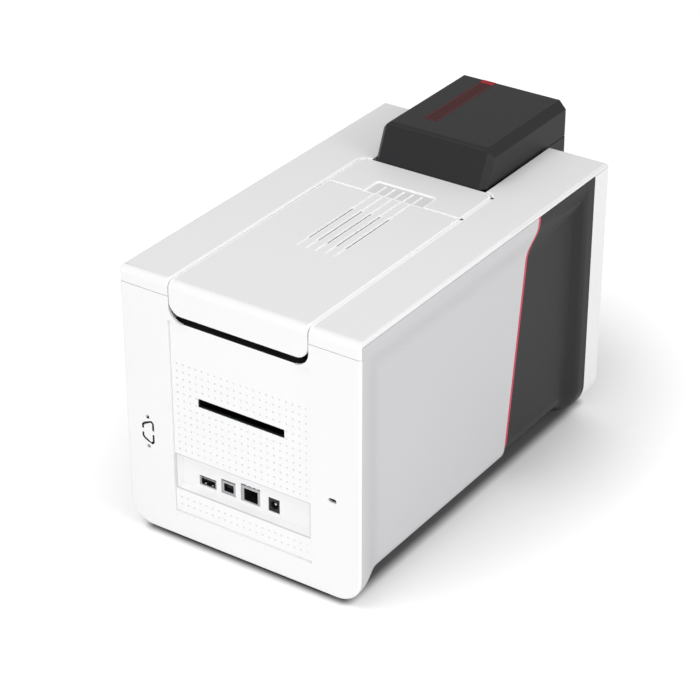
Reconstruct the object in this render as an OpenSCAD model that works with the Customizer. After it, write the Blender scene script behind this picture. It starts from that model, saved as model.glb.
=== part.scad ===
// Desktop card printer: a casing with a hinged lid, a card feeder on its front top edge, an output
// hopper below it, and the card path, print head and ribbon inside. Millimetres. X runs across the
// machine, +Y points to its rear and +Z up. The origin lies on the table, midway along the length.

/* [Casing] */
// Width of the casing
body_w = 205; // [203:1:230]
// Length of the casing, from its front face to its rear face
body_l = 340; // [338:1:360]
// Height of the casing
body_h = 213; // [211:1:235]
// Wall thickness of the mouldings
wall = 2.5; // [2.2:0.1:2.8]
// Radius of the casing's lower corners
corner_r = 20; // [16:1:24]
// Radius of the lower corners at the front, as far back as the coloured lines
front_corner_r = 26; // [24:1:27]
// Radius of the rear face's outer edges
face_edge_r = 2; // [1:0.25:2.2]
// Radius of the rails' outer top edges
edge_r = 3; // [2:0.5:4]
// Radius of the top's rear edge
rear_edge_r = 6; // [4:1:8]
// Gap between fixed mouldings
seam = 0.3; // [0.2:0.05:0.4]
// Gap between the rails and the sides
rail_gap = 0.5; // [0.4:0.1:0.7]
// Height of the foot pads
foot_h = 3.5; // [2.5:0.5:6]
// Gap between the base's rim and the table
base_gap = 0.8; // [0.5:0.1:2]
// Radius of the foot pads
foot_r = 9; // [6:1:11]

/* [Side panels] */
// Depth of the dish in each side
dish = 7.5; // [5:0.5:9]
// Flat rim of the dish below the rail
dish_rim = 5; // [3:1:10]
// Height of the slope from the rim to the bottom of the dish
dish_slope_top = 30; // [15:1:40]
// Length of the slope at the rear
dish_slope_rear = 33; // [20:1:40]
// Length of the slope at the front
dish_slope_front = 20; // [14:1:24]
// Flat rim between the dish and the front bezel
dish_rim_front = 8; // [5:1:10]
// Length of the front bezel seen on the side
bezel_l = 20.5; // [16:0.5:26]
// Distance of the coloured line from the front face, at the rail
split_top = 103.5; // [95:0.5:115]
// Distance of the coloured line from the front face, at the foot
split_low = 132; // [120:1:140]
// Width of the coloured line
trim_w = 2.4; // [1.5:0.1:4]

/* [Lid] */
// Width of the lid, seam to seam
lid_w = 119; // [117:1:122]
// Length of the lid, from the rear face to the seam at its hinge
lid_l = 195.3; // [194:0.1:200]
// Gap around the lid
lid_gap = 0.6; // [0.6:0.05:1]
// Height of the lip at the lid's rear
lip_h = 26; // [22:1:28]
// Radius of the lip's lower corners
lip_r = 10; // [6:1:12]
// Height of the finger gap below the lip
finger_gap = 6; // [5:0.5:8]
// Depth of the lid's skirts
skirt_h = 10; // [9.6:0.1:11]
// Distance of the hinge axis from the lid's front edge
hinge_back = 14; // [13:0.5:16]
// Depth of the hinge axis below the top
hinge_drop = 5; // [4.8:0.1:5.4]
// Radius of the hinge pins
hinge_pin_r = 2.2; // [1.8:0.1:2.4]
// Length of the fixed cover in front of the lid
hinge_cover_l = 48; // [46:0.5:50]
// Front corner radius of the fixed cover
hinge_cover_r = 8; // [4:1:10]

/* [Vents] */
// Distance between the vent lines
vent_pitch = 8; // [6:0.5:9]
// Width of the vent grooves
vent_w = 2; // [1.4:0.1:3]
// Width of the slit in each vent groove
vent_slit = 1; // [0.8:0.1:1.2]
// Length of the vent slots
vent_l = 58; // [40:1:70]
// Distance of the vent slots from the lid's hinge seam
vent_start = 27.8; // [26:0.2:32]
// Width of the grooves that carry the vent lines on
groove_w = 1.5; // [1:0.1:2]
// Depth of the grooves
groove_d = 0.8; // [0.5:0.1:1.2]
// Length of the grooves behind the slots
groove_l = 15; // [8:1:20]
// Width of the shallow tray in the hinge cover
tray_w = 52; // [40:1:60]
// Length of the tray
tray_l = 19; // [15:0.5:24]

/* [Rear panel] */
// Width of the recess in the rear face
recess_w = 121; // [119:1:123]
// Height of the recess's lower edge above the casing's bottom
recess_low = 21.5; // [20:0.5:26]
// Depth of the recess
recess_d = 2; // [1.5:0.1:2.5]
// Width of the rear card slot
slot_w = 75; // [60:1:85]
// Height of the rear card slot
slot_h = 6.8; // [6:0.2:9]
// Distance of the slot's middle below the card path
slot_drop = 0.5; // [0:0.1:0.8]
// Width of the port pocket
pocket_w = 118; // [112:1:118]
// Distance of the pocket's middle from the casing's
pocket_x = 0.75; // [0:0.25:0.75]
// Height of the port pocket
pocket_h = 28.8; // [24:0.2:32]
// Height of the pocket's lower edge above the casing's bottom
pocket_low = 41.2; // [40:0.2:44]
// Depth of the pocket, from the rear face
pocket_d = 8; // [6.5:0.5:9]
// Slant of the pocket's sides
pocket_slant = 2; // [1:0.5:3]
// Distance of the serial knock-out's middle from the casing's side
knock_in = 19.2; // [17:0.2:22]
// Height of the knock-out's centre above the casing's bottom
knock_up = 81.5; // [60:1:120]
// Height of the knock-out
knock_h = 20; // [18:0.5:24]
// Width of the knock-out
knock_w = 11; // [9:0.5:13]
// Width of the knock-out's slits
slit_w = 1.6; // [1.2:0.1:2]
// Place of the lock slot across the strip beside the recess, as a share of its width
lock_share = 0.575; // [0.5:0.005:0.6]
// Height of the lock slot above the casing's bottom
lock_up = 81.2; // [60:1:120]
// Length of the lock slot
lock_l = 7; // [6.5:0.1:8]
// Width of the lock slot
lock_w = 3.5; // [3:0.1:4]

/* [Ports] */
// Place of the host port across the panel
host_x = 36; // [33:0.5:42]
// Place of the device port across the panel
device_x = 17.5; // [15:0.5:20]
// Place of the network port across the panel
network_x = -2.2; // [-5:0.2:0]
// Place of the power inlet across the panel
inlet_x = -23; // [-30:0.5:-19]
// Height of the main board's top above the casing's bottom
board_up = 46.5; // [45.6:0.1:48]
// Thickness of the main board
board_t = 1.6; // [1.2:0.2:2]
// Length of the main board
board_l = 92; // [70:1:100]

/* [Feeder] */
// Width of the feeder
feeder_w = 99; // [97:0.5:100]
// Height of the feeder above the casing
feeder_up = 28.5; // [26:0.5:40]
// Distance by which the feeder stands out in front of the casing
feeder_reach = 25.3; // [20:0.5:30]
// Width of the slope along each side of the feeder's top
slope_side = 6; // [4:0.5:7]
// Height of the slopes along the sides
slope_h = 6.5; // [4:0.5:7]
// Distance by which the feeder's rear leans forward
rear_lean = 12; // [9:0.5:13]
// Length of the cut-off rear corners
corner_cut_l = 5; // [3:0.5:5.5]
// Width of the cut-off rear corners
corner_cut_w = 4.5; // [3:0.5:5]
// Distance of the card bay from the rear of the feeder
bay_back = 19.5; // [19.2:0.1:20.4]
// Distance of the cover's hinge axis from the rear of the feeder
cover_hinge_back = 12.7; // [12:0.1:13.2]
// Height of the cover's hinge axis above the casing's top
cover_hinge_up = 7.5; // [7:0.1:8.2]
// Radius of the cover's hinge pins
cover_pin_r = 2.5; // [2:0.1:2.7]
// Width of the level window
window_w = 12; // [9:0.5:14]
// Distance of the level window's middle from the centre line
window_x = 20; // [16:0.5:24]
// Distance of the window's rear end from the rear of the feeder
window_back = 32.7; // [30:0.1:50]
// Corner radius of the window's rear end
window_r = 4; // [2:0.5:4]

/* [Output hopper] */
// Distance by which the hopper stands out in front of the casing
hopper_reach = 41; // [36:1:48]
// Width of the hopper
hopper_w = 62; // [60.5:0.5:64]
// Depth of the hopper, front to rear
hopper_l = 91.5; // [90.5:0.5:96]
// Height of the hopper's floor above the casing's bottom
hopper_low = 18.5; // [16:0.5:19]
// Wall thickness of the hopper
hopper_wall = 2.2; // [1.6:0.1:2.6]

/* [Card path] */
// Depth of the card path below the casing's top
path_drop = 92.1; // [91:0.1:93]
// Width of a card
card_w = 54; // [53.5:0.1:54.4]
// Length of a card
card_l = 85.6; // [85:0.1:86]
// Thickness of a card
card_t = 0.76; // [0.5:0.02:0.9]
// Radius of the transport rollers
roller_r = 7; // [6.6:0.1:7.2]
// Radius of the roller shafts
shaft_r = 3; // [2.5:0.1:3]
// Radius of the pinch rollers
pinch_r = 5; // [4.5:0.1:5.5]
// Radius of the pinch and cleaning shafts
pinch_shaft_r = 2; // [1.5:0.1:2]
// Distance of the platen roller from the rear face
platen_back = 123.5; // [121:0.5:125]
// Distance of the entry roller from the rear face
entry_back = 175.5; // [174:0.5:177]
// Distance of the exit roller from the rear face
exit_back = 65.5; // [63:0.5:68]
// Distance of the cleaning roller from the rear face
cleaning_back = 215.5; // [214:0.5:217]
// Radial running clearance of shafts and pins
running = 0.05; // [0.03:0.01:0.08]

/* [Print head and ribbon] */
// Half width of the print head's heat sink
sink_x = 35; // [33:0.5:35]
// Height of the heat sink
sink_h = 23; // [20:1:25]
// Length of the heat sink along the card path
sink_l = 16; // [14:1:17]
// Height of the ribbon spools' axes above the card path
spool_up = 35.6; // [34:0.2:38]
// Distance of the supply spool from the rear face
supply_back = 50.5; // [48:0.5:53]
// Distance of the take-up spool from the rear face
takeup_back = 165.5; // [164:0.5:167]
// Radius of the ribbon on the supply spool
supply_r = 16; // [12:0.5:17]
// Radius of the ribbon on the take-up spool
takeup_r = 8; // [7:0.5:14]
// Width of the ribbon
ribbon_w = 59; // [56:0.5:60]
// Radius of the spools' journals
journal_r = 4; // [3:0.1:4.4]

/* [Drive] */
// Gear module
gear_m = 0.8; // [0.78:0.01:0.82]
// Teeth of both motor pinions
pinion_n = 15; // [14:1:16]
// Teeth of the gear on the entry roller
entry_gear_n = 48; // [47:1:50]
// Teeth of the gear on the take-up spool
takeup_gear_n = 36; // [32:1:36]
// Width of the gears
gear_w = 5.5; // [4:0.5:6]
// Width of the drive belts
belt_w = 4.4; // [3:0.1:4.8]
// Thickness of the drive belts
belt_t = 1.2; // [0.8:0.1:1.4]
// Side of the square transport motor
motor_w = 35; // [30:1:35]
// Length of the transport motor
motor_l = 32; // [25:1:34]
// Side of the square fan
fan_w = 40; // [38:1:41]

/* [Chassis] */
// Distance between the chassis plates
chassis_w = 92; // [90:0.5:92]
// Thickness of the chassis plates
plate_t = 1.5; // [1.2:0.1:1.8]
// Height of the chassis base above the casing's bottom
chassis_up = 6.5; // [6:0.5:8]

/* [Controls] */
// Distance of the control button from the casing's side
button_in = 26.5; // [24:0.5:30]
// Height of the control button above the casing's bottom
button_up = 146.5; // [100:1:180]
// Radius of the control button
button_r = 8; // [6:0.5:10]
// Distance of the indicators above the button
lens_up = 18; // [15:1:25]

/* [Hidden] */
$fn = 48;

// Colours, close to the finishes of the real pieces
white = [0.93, 0.93, 0.94];
grey = [0.78, 0.78, 0.79];
black = [0.12, 0.12, 0.13];
dark = [0.2, 0.2, 0.21];
red = [0.75, 0.06, 0.12];
steel = [0.72, 0.73, 0.75];
rubber = [0.16, 0.16, 0.16];
brass = [0.78, 0.65, 0.35];
green = [0.05, 0.3, 0.16];

// Casing limits
y_rear = (body_l + hopper_reach) / 2;
y_front = y_rear - body_l;
half_w = body_w / 2;
z_base = foot_h;
z_top = z_base + body_h;
eps = 0.01;
over = 1;

// Lid and the seams around it
y_cross = y_rear - lid_l;
y_cover_front = y_cross - hinge_cover_l;
lid_x = (lid_w - lid_gap) / 2;
bay_x = (lid_w + lid_gap) / 2;
lid_front = y_cross + lid_gap / 2 + 0.1;
cover_rear = y_cross - lid_gap / 2 - 0.1;
z_lip = z_top - lip_h;
z_skirt = z_top - skirt_h;
button_x = half_w - button_in;
hinge_y = lid_front + hinge_back;
hinge_z = z_top - hinge_drop;
soft_r = 1.5;
z_part = z_top - 12.5;

// Rear panel
gap_low = z_lip - finger_gap;
panel_top = gap_low + 0.5;
panel_x = recess_w / 2;
z_recess = z_base + recess_low;
panel_y = y_rear - recess_d;
pocket_y = y_rear - pocket_d;
z_pocket = z_base + pocket_low;
board_z = z_base + board_up;
knock_x = half_w - knock_in;
strip_in = panel_x + 4;
strip_out = half_w - 2 * wall - dish - seam;
lock_x = strip_in + lock_share * (strip_out - strip_in);
lock_half = min(lock_l / 2 + 5, strip_out - lock_x - 0.5, lock_x - strip_in - 0.5);

// Side panels
rail_edge = edge_r;
side_top = z_top - rail_edge - rail_gap;
side_rear = y_rear - wall - seam;
side_front = y_front + bezel_l;
dish_n = 10;

// Card path and rollers
path_z = z_top - path_drop;
card_low = path_z - card_t / 2;
card_high = path_z + card_t / 2;
roller_z = card_low - roller_r;
pinch_z = card_high + pinch_r;
cleaning_z = card_high + roller_r;
platen_y = y_rear - platen_back;
entry_y = y_rear - entry_back;
exit_y = y_rear - exit_back;
cleaning_y = y_rear - cleaning_back;
sleeve_x = card_w / 2 - 3.5;

// Feeder
feeder_x = feeder_w / 2;
feeder_rear = y_cover_front - 0.5;
feeder_front = y_front - feeder_reach;
feeder_top = z_top + feeder_up;
feeder_low = path_z - 16.4;
bay_rear = feeder_rear - bay_back;
bay_front = bay_rear - card_l - 1.2;
bay_half = card_w / 2 + 0.6;
bay_floor = card_low - 0.42;
feed_y = bay_rear - 27.2;
deck_high = z_top - 0.8;
deck_low = z_top - 10.5;
step_y = bay_rear - 9.2;
cover_low = z_top - 0.5;
cover_hinge_y = feeder_rear - cover_hinge_back;
cover_hinge_z = z_top + cover_hinge_up;
bay_wall = 2.2;

// Output hopper
hopper_front = y_front - hopper_reach;
hopper_x = hopper_w / 2;
z_hopper = z_base + hopper_low;
hopper_h = feeder_low - 4 - z_hopper;
mouth_x = hopper_x + 3;

// Chassis
plate_x = chassis_w / 2;
chassis_z = z_base + chassis_up;
chassis_front = y_front + 5.2;
chassis_rear = y_rear - 16.5;
nose_step = feeder_rear - 1.2;
spool_z = path_z + spool_up;
chassis_top = spool_z + 18;
supply_y = y_rear - supply_back;
takeup_y = y_rear - takeup_back;
tray_x = half_w - dish - corner_r - seam;

// Print head
head_z = card_high + 0.72;
strip_h = 1.5;
sink_low = head_z + strip_h;
sink_top = sink_low + sink_h;
sink_y = platen_y - 1;
spring_h = 5;
cross_z = sink_top + spring_h;
head_pin_z = sink_low + 13;
head_pin_r = 1.5;
head_travel = 1.2;

// Drive layers along X, counted outwards from the right plate
belt_gap = 0.1;
layer_a = -plate_x - plate_t - 1.5;
layer_step = 6;
layer_b = layer_a - layer_step;
layer_gear = layer_b - layer_step;
gear_gap = (pinion_n + entry_gear_n) * gear_m / 2;
motor_z = roller_z - gear_gap;
spool_gear_x = plate_x + plate_t + 1.5;
spool_gap = (pinion_n + takeup_gear_n) * gear_m / 2;
ribbon_motor_z = spool_z - spool_gap;

// Fan
fan_y = platen_y - 15;
fan_z = z_top - wall - 0.3;
fan_h = 10;

// Fasteners
screw_r = 1.6;
base_posts = [for (x = [-1, 1], y = [0, 0.5, 1])
    [x * (plate_x - 12), y_front + 32 + y * (chassis_rear - y_front - 46)]];
guide_in = card_w / 2 - 2.5;
guide_out = card_w / 2 + 2.5;

// Drawing helpers

// A box between two opposite corners
module box(lo, hi) {
    translate(lo) cube([hi.x - lo.x, hi.y - lo.y, hi.z - lo.z]);
}

// A profile drawn in X and Z, drawn out from y0 to y1
module along_y(y0, y1) {
    translate([0, y1, 0]) rotate([90, 0, 0]) linear_extrude(y1 - y0) children();
}

// A profile drawn in Y and Z, drawn out from x0 to x1
module along_x(x0, x1) {
    translate([x0, 0, 0]) rotate([90, 0, 90]) linear_extrude(x1 - x0) children();
}

// A profile drawn in X and Y, drawn out from z0 to z1
module along_z(z0, z1) {
    translate([0, 0, z0]) linear_extrude(z1 - z0) children();
}

// A round rod along X
module rod_x(x0, x1, y, z, r) {
    translate([x0, y, z]) rotate([0, 90, 0]) cylinder(r = r, h = x1 - x0);
}

// A round rod along Y
module rod_y(y0, y1, x, z, r) {
    translate([x, y1, z]) rotate([90, 0, 0]) cylinder(r = r, h = y1 - y0);
}

// A round rod along Z
module rod_z(z0, z1, x, y, r) {
    translate([x, y, z0]) cylinder(r = r, h = z1 - z0);
}

// The child and its mirror image across the middle plane
module both() {
    children();
    mirror([1, 0, 0]) children();
}

// A rectangle from a to b whose corners on the sides named in low and high are rounded by r
module round_rect(a, b, r, low = true, high = true) {
    difference() {
        translate(a) square([b.x - a.x, b.y - a.y]);
        for (s = [0, 1], t = [0, 1])
            if ((t == 0 && low) || (t == 1 && high))
                translate([s == 0 ? a.x : b.x, t == 0 ? a.y : b.y]) scale_corner(s, t, r);
    }
}

// The waste outside a rounded corner, for a corner at the origin
module scale_corner(s, t, r) {
    dx = s == 0 ? 1 : -1;
    dy = t == 0 ? 1 : -1;
    difference() {
        translate([s == 0 ? -eps : -r, t == 0 ? -eps : -r]) square(r + eps);
        translate([dx * r, dy * r]) circle(r);
    }
}

// Points of a smooth slope from p to q, eased across X
function slope(p, q) = [for (i = [0:dish_n])
    let (t = i / dish_n, s = (1 - cos(180 * t)) / 2)
    [p.x + (q.x - p.x) * s, p.y + (q.y - p.y) * t]];

// The casing's outline in X and Z, drawn in by inset and cut off at height top
module casing_outline(inset, top, r = corner_r) {
    round_rect([inset - half_w, z_base + inset], [half_w - inset, top],
        r - inset, low = true, high = false);
}

// A quarter ring in the lower +X corner of radius r: its profile is drawn in distance from the corner's
// centre and in Y
module corner_ring(r) {
    translate([half_w - r, 0, z_base + r]) rotate([-90, 0, 0]) rotate_extrude(angle = 90) children();
}

// Casing

module base_tray() color(black) difference() {
    union() {
        box([-tray_x, y_front + bezel_l, z_base], [tray_x, side_rear, z_base + wall]);
        both() box([tray_x - wall, y_front + bezel_l, z_base],
            [tray_x, y_rear - 4 * bezel_l / 5, z_base + 9]);
        for (p = base_posts) rod_z(z_base, chassis_z, p.x, p.y, 5);
        difference() {
            box([1 - tray_x, side_front + 1, base_gap], [tray_x - 1, side_rear - 0.2, z_base + 1]);
            box([3 - tray_x, side_front + 3, 0], [tray_x - 3, side_rear - 2.2, z_base + wall]);
        }
    }
    for (p = base_posts) {
        rod_z(z_base - over, chassis_z + over, p.x, p.y, screw_r + 0.2);
        rod_z(z_base - over, z_base + 3, p.x, p.y, 3.4);
    }
}

module feet() color(rubber)
    for (x = [-1, 1], y = [y_front + 33, y_rear - 33])
        rod_z(0, z_base, x * (tray_x - 14), y, foot_r);

// The opening around the lid's lip, seen from the rear
module lip_notch() {
    round_rect([-bay_x, gap_low], [bay_x, z_top + over], lip_r + 2, low = true, high = false);
}

// The waste outside the rear face's rounded outer edges, on the +X side
module face_edge_waste() {
    along_z(z_base + corner_r, z_top + over)
        translate([half_w, y_rear]) scale_corner(1, 1, face_edge_r);
    along_x(-over, half_w - corner_r)
        translate([y_rear, z_base]) scale_corner(1, 0, face_edge_r);
    corner_ring(corner_r) translate([corner_r, y_rear]) scale_corner(1, 1, face_edge_r);
}

module rear_bezel() color(white) difference() {
    union() {
        along_y(y_rear - wall, y_rear) difference() {
            casing_outline(0, z_part - seam);
            translate([-panel_x - 0.5, z_recess - 0.5])
                square([recess_w + 1, gap_low - z_recess + 0.5]);
            lip_notch();
        }
        along_y(y_rear - wall - 10, y_rear - wall) difference() {
            casing_outline(wall + dish + seam, z_part - seam - 3);
            casing_outline(2 * wall + dish + seam, z_part);
        }
    }
    translate([knock_x, y_rear + over, z_base + knock_up]) rotate([90, 0, 0])
        linear_extrude(wall + 2 * over) knock_slits();
    translate([-lock_x, y_rear + over, z_base + lock_up]) rotate([90, 0, 0])
        linear_extrude(wall + 2 * over) lock_hole();
    both() face_edge_waste();
}

// Slits of the serial port's knock-out, joined to the bezel by two bridges, and its screw marks
module knock_slits() {
    h = knock_h / 2;
    w = knock_w / 2;
    cut = knock_h / 7;
    difference() {
        knock_form(w, h, cut, 2);
        knock_form(w - slit_w, h - slit_w, cut, 1.2);
        translate([-w - over, -slit_w]) square([knock_w + 2 * over, 2 * slit_w]);
    }
    for (s = [-1, 1]) translate([0, s * (h + 2.5)]) circle(1.5);
}

// The outline of a serial plug on end, less high on its +X side, with cut corners
module knock_form(w, h, cut, c) {
    polygon([[-w, c - h], [c - w, -h], [w - c, cut - h], [w, cut + c - h],
        [w, h - cut - c], [w - c, h - cut], [c - w, h], [-w, h - c]]);
}

// A slot with round ends, as anti-theft cables use
module lock_hole() {
    square([lock_l - lock_w, lock_w], center = true);
    for (s = [-1, 1]) translate([s * (lock_l - lock_w) / 2, 0]) circle(lock_w / 2);
}

module lock_plate() color(steel)
    translate([-lock_x, y_rear - wall - 0.2, z_base + lock_up]) rotate([90, 0, 0])
        linear_extrude(1.5) difference() {
            square([2 * lock_half, lock_w + 12], center = true);
            lock_hole();
        }

// The pocket's hollow, grown by g: its sides and floor slant inwards
module pocket_space(g) {
    translate([pocket_x, 0, 0]) intersection() {
        along_z(z_pocket - g, z_pocket + pocket_h + g) polygon([
            [-pocket_w / 2 + pocket_slant - g, pocket_y - g],
            [pocket_w / 2 - pocket_slant + g, pocket_y - g],
            [pocket_w / 2 + g, panel_y + eps], [-pocket_w / 2 - g, panel_y + eps]]);
        along_x(-pocket_w, pocket_w) polygon([
            [pocket_y - g, z_pocket + pocket_slant - g], [pocket_y - g, z_pocket + pocket_h + g],
            [panel_y + eps, z_pocket + pocket_h + g], [panel_y + eps, z_pocket - g]]);
    }
}

module port_panel() color(white) difference() {
    union() {
        box([-panel_x, panel_y - wall, z_recess], [panel_x, panel_y, panel_top - 1]);
        box([-panel_x - 4, panel_y - wall, z_recess - 4], [panel_x + 4, y_rear - wall - 0.2, panel_top - 1]);
        box([-bay_x + 1, y_rear - 26, panel_top - 1 - wall], [bay_x - 1, panel_y - eps, panel_top - 1]);
        intersection() {
            pocket_space(2);
            box([-panel_x, pocket_y - 2, 0], [panel_x, panel_y, z_top]);
        }
    }
    pocket_space(0);
    box([-slot_w / 2, panel_y - wall - over, path_z - slot_drop - slot_h / 2],
        [slot_w / 2, panel_y + over, path_z - slot_drop + slot_h / 2]);
    port_hole(host_x, host_w, host_h);
    port_hole(device_x, device_w, device_h);
    port_hole(network_x, network_w, network_h);
    port_hole(inlet_x, inlet_w, inlet_h);
}

// The hole in the pocket's floor for one port
module port_hole(x, w, h) {
    box([x - w / 2 - seam, pocket_y - 2 - over, board_z - seam],
        [x + w / 2 + seam, pocket_y + over, board_z + h + seam]);
}

module front_bezel() color(white) difference() {
    along_y(y_front, y_front + bezel_l - seam) casing_outline(0, side_top, front_corner_r);
    along_y(y_front + wall, y_front + bezel_l) casing_outline(wall, z_top, front_corner_r);
    box([-bay_low_x, y_front - over, z_base + 10.5],
        [bay_low_x, y_front + bezel_l + over, z_top + over]);
    rod_y(y_front - over, y_front + wall + over, button_x, z_base + button_up, button_r + 0.3);
    for (i = [-1:1])
        rod_y(y_front - over, y_front + wall + over, button_x + lens_pitch * i,
            z_base + button_up + lens_up, lens_r + 0.1);
}
bay_low_x = feeder_x + 1.4;
lens_pitch = 8;
lens_r = 1.6;

module front_fascia() color(black) difference() {
    box([-bay_low_x + seam, y_front + wall, z_base + 10.8],
        [bay_low_x - seam, y_front + 2 * wall, feeder_low - 0.5]);
    box([-mouth_x, y_front, z_hopper - 2.5], [mouth_x, y_front + 3 * wall, z_hopper + hopper_h + 1.5]);
}

// The opening in the top for the lid, hinge cover and feeder, grown by g
module top_opening(g) {
    difference() {
        translate([-bay_x - g, y_cover_front - 0.4 - g])
            square([2 * (bay_x + g), y_rear - y_cover_front + 0.4 + over + g]);
        for (s = [0, 1])
            translate([(2 * s - 1) * (bay_x + g), y_cover_front - 0.4 - g])
                scale_corner(s, 0, hinge_cover_r + g);
    }
    translate([-bay_low_x - g, y_front - over])
        square([2 * (bay_low_x + g), y_cover_front - y_front + over + hinge_cover_r]);
}

// The outer form of the top: rails with round outer edges, and a wall that drops down at the rear
module rail_block() {
    for (p = [[y_front, z_top - rail_edge], [y_rear - 2 * rear_edge_r, z_part]]) intersection() {
        along_y(p[0], y_rear)
            round_rect([-half_w, p[1]], [half_w, z_top], edge_r - eps, low = false, high = true);
        along_x(-half_w, half_w) difference() {
            translate([y_front, z_part]) square([body_l, z_top - z_part]);
            translate([y_rear, z_top]) scale_corner(1, 1, rear_edge_r);
            translate([y_front, z_top]) scale_corner(0, 1, edge_r - eps);
        }
        along_z(0, z_top + over) difference() {
            translate([-half_w, y_front]) square([body_w, body_l]);
            for (s = [0, 1]) translate([(2 * s - 1) * half_w, y_rear]) scale_corner(s, 1, face_edge_r);
        }
    }
}

ledge_z = chassis_top + 0.3;
bar_z = z_top - 20.5;

module top_frame() color(white) union() {
    frame_shell();
    box([-bay_x - eps, y_cover_front + 3, bar_z], [bay_x + eps, cover_rear - 9, bar_z + wall]);
}

module frame_shell() difference() {
    union() {
        difference() {
            rail_block();
            box([-half_w + wall + 1, y_front + wall, 0], [half_w - wall - 1, y_rear - wall, z_top - wall]);
            // the side panels stand inside the rear corner posts
            both() box([half_w - wall - 2, y_front, z_part - over],
                [half_w + over, side_rear + seam, z_top - rail_edge]);
        }
        // walls around the opening, above the feeder's belt drive at the front
        along_z(ledge_z, z_top - soft_r) intersection() {
            top_opening(wall);
            translate([-half_w, feeder_rear - 4]) square([body_w, y_rear - 6.5 - feeder_rear + 4]);
        }
        along_z(z_top - 26, z_top - soft_r) intersection() {
            top_opening(wall);
            translate([-half_w, y_front + 2 * wall + 0.5])
                square([body_w, feeder_rear - y_front - 2 * wall - 4]);
        }
    }
    along_z(ledge_z - over, z_top + over) difference() {
        top_opening(0);
        translate([-bay_x - over, cover_rear - 8]) square([2 * (bay_x + over), y_rear - 30 - cover_rear + 8]);
    }
    along_z(ledge_z + wall, z_top + over) top_opening(0);
    // the chassis, the spools' journals and the take-up gear stand up past the ledge
    box([2 - plate_x, cover_rear - 9, ledge_z - over], [plate_x - 2, y_rear - 29, ledge_z + wall + over]);
    box([plate_x - 3, takeup_y - 17, ledge_z - over],
        [spool_gear_x + gear_w + 2, takeup_y + 17, ledge_z + wall + over]);
    both() for (y = [supply_y, takeup_y])
        box([plate_x - 3, y - journal_r - 1, ledge_z - over],
            [plate_x + 5, y + journal_r + 1, ledge_z + wall + over]);
    rod_x(-bay_x - 12, bay_x + 12, hinge_y, hinge_z, hinge_pin_r + running);
}

module hinge_cover() color(white) difference() {
    union() {
        difference() {
            intersection() {
                along_z(z_skirt, z_top) difference() {
                    translate([-lid_x, y_cover_front]) square([2 * lid_x, cover_rear - y_cover_front]);
                    for (s = [0, 1])
                        translate([(2 * s - 1) * lid_x, y_cover_front]) scale_corner(s, 0, hinge_cover_r);
                }
                along_y(y_cover_front, cover_rear)
                    round_rect([-lid_x, z_skirt], [lid_x, z_top], soft_r, low = false, high = true);
            }
            along_z(z_skirt - over, z_top - wall) difference() {
                translate([-lid_x + wall, y_cover_front + wall])
                    square([2 * (lid_x - wall), cover_rear - y_cover_front - 2 * wall]);
                for (s = [0, 1])
                    translate([(2 * s - 1) * (lid_x - wall), y_cover_front + wall])
                        scale_corner(s, 0, hinge_cover_r - wall);
            }
        }
        for (s = [-1, 1], y = [y_cover_front + 10, cover_rear - 14])
            rod_z(bar_z + wall, z_top - wall + eps, s * (lid_x - 10), y, 3.5);
    }
    // shallow tray, open to the lid's edge, with the ends of the vent lines in it
    along_z(z_top - groove_d, z_top + over)
        round_rect([-tray_w / 2, cover_rear - tray_l], [tray_w / 2, cover_rear + over], 3,
            low = true, high = false);
    for (i = [-2:2])
        box([i * vent_pitch - groove_w / 2, cover_rear - tray_l + 4, z_top - 2 * groove_d],
            [i * vent_pitch + groove_w / 2, cover_rear + over, z_top]);
}

// Points along Y of the even dish at both ends: how far in (x) the outline lies at each place (y)
function dish_line(y0, y1) = concat([[0, y0]],
    slope([0, side_front + dish_rim_front], [dish, side_front + dish_rim_front + dish_slope_front]),
    slope([dish, side_rear - 1 - dish_slope_rear], [0, side_rear - 1]), [[0, y1]]);

// Everything inside the sides' outer face on the +X side, drawn in by t: r is the lower corner's radius
module side_body(t, y0, y1, r) {
    line = dish_line(y0, y1);
    z_mid = z_base + r;
    along_y(y0, y1) polygon(concat(
        [[0, z_mid], [0, side_top + t], [half_w - t, side_top + t]],
        slope([half_w - t, side_top - dish_rim], [half_w - dish - t, side_top - dish_rim - dish_slope_top]),
        [[half_w - dish - t, z_mid]]));
    along_z(z_mid, side_top + t)
        polygon(concat([for (p = line) [half_w - p.x - t, p.y]], [[0, y1], [0, y0]]));
    along_x(0, half_w - r)
        polygon(concat([for (p = line) [p.y, z_base + p.x + t]], [[y1, z_mid], [y0, z_mid]]));
    corner_ring(r) polygon(concat([for (p = line) [r - p.x - t, p.y]], [[0, y1], [0, y0]]));
}

// One whole side shell, on the +X side
module side_shell(r) difference() {
    side_body(0, side_front, side_rear, r);
    side_body(wall, side_front - over, side_rear + over, r);
    box([-over, y_front, 0], [tray_x + seam, y_rear, z_top]);
}

// The part of the side between two slanted lines, set back by a and b from the coloured line
module side_between(a, b, r) {
    slant = (split_low - split_top) / (side_top - z_base);
    y_up = y_front + split_top - over * slant;
    y_low = y_front + split_low + over * slant;
    intersection() {
        side_shell(r);
        along_x(0, half_w + over) polygon([
            [y_low + a, z_base - over], [y_up + a, side_top + over],
            [y_up + b, side_top + over], [y_low + b, z_base - over]]);
    }
}

module side_panel_left() color(grey) side_between(trim_w / 2 + 0.05, body_l, corner_r);
module side_panel_right() color(grey) mirror([1, 0, 0]) side_between(trim_w / 2 + 0.05, body_l, corner_r);
module side_cover_left() color(black) side_between(-body_l, -trim_w / 2 - 0.05, front_corner_r);
module side_cover_right() color(black) mirror([1, 0, 0])
    side_between(-body_l, -trim_w / 2 - 0.05, front_corner_r);
module side_trims() color(red) both() side_between(-trim_w / 2, trim_w / 2, front_corner_r);

// Lid

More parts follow.
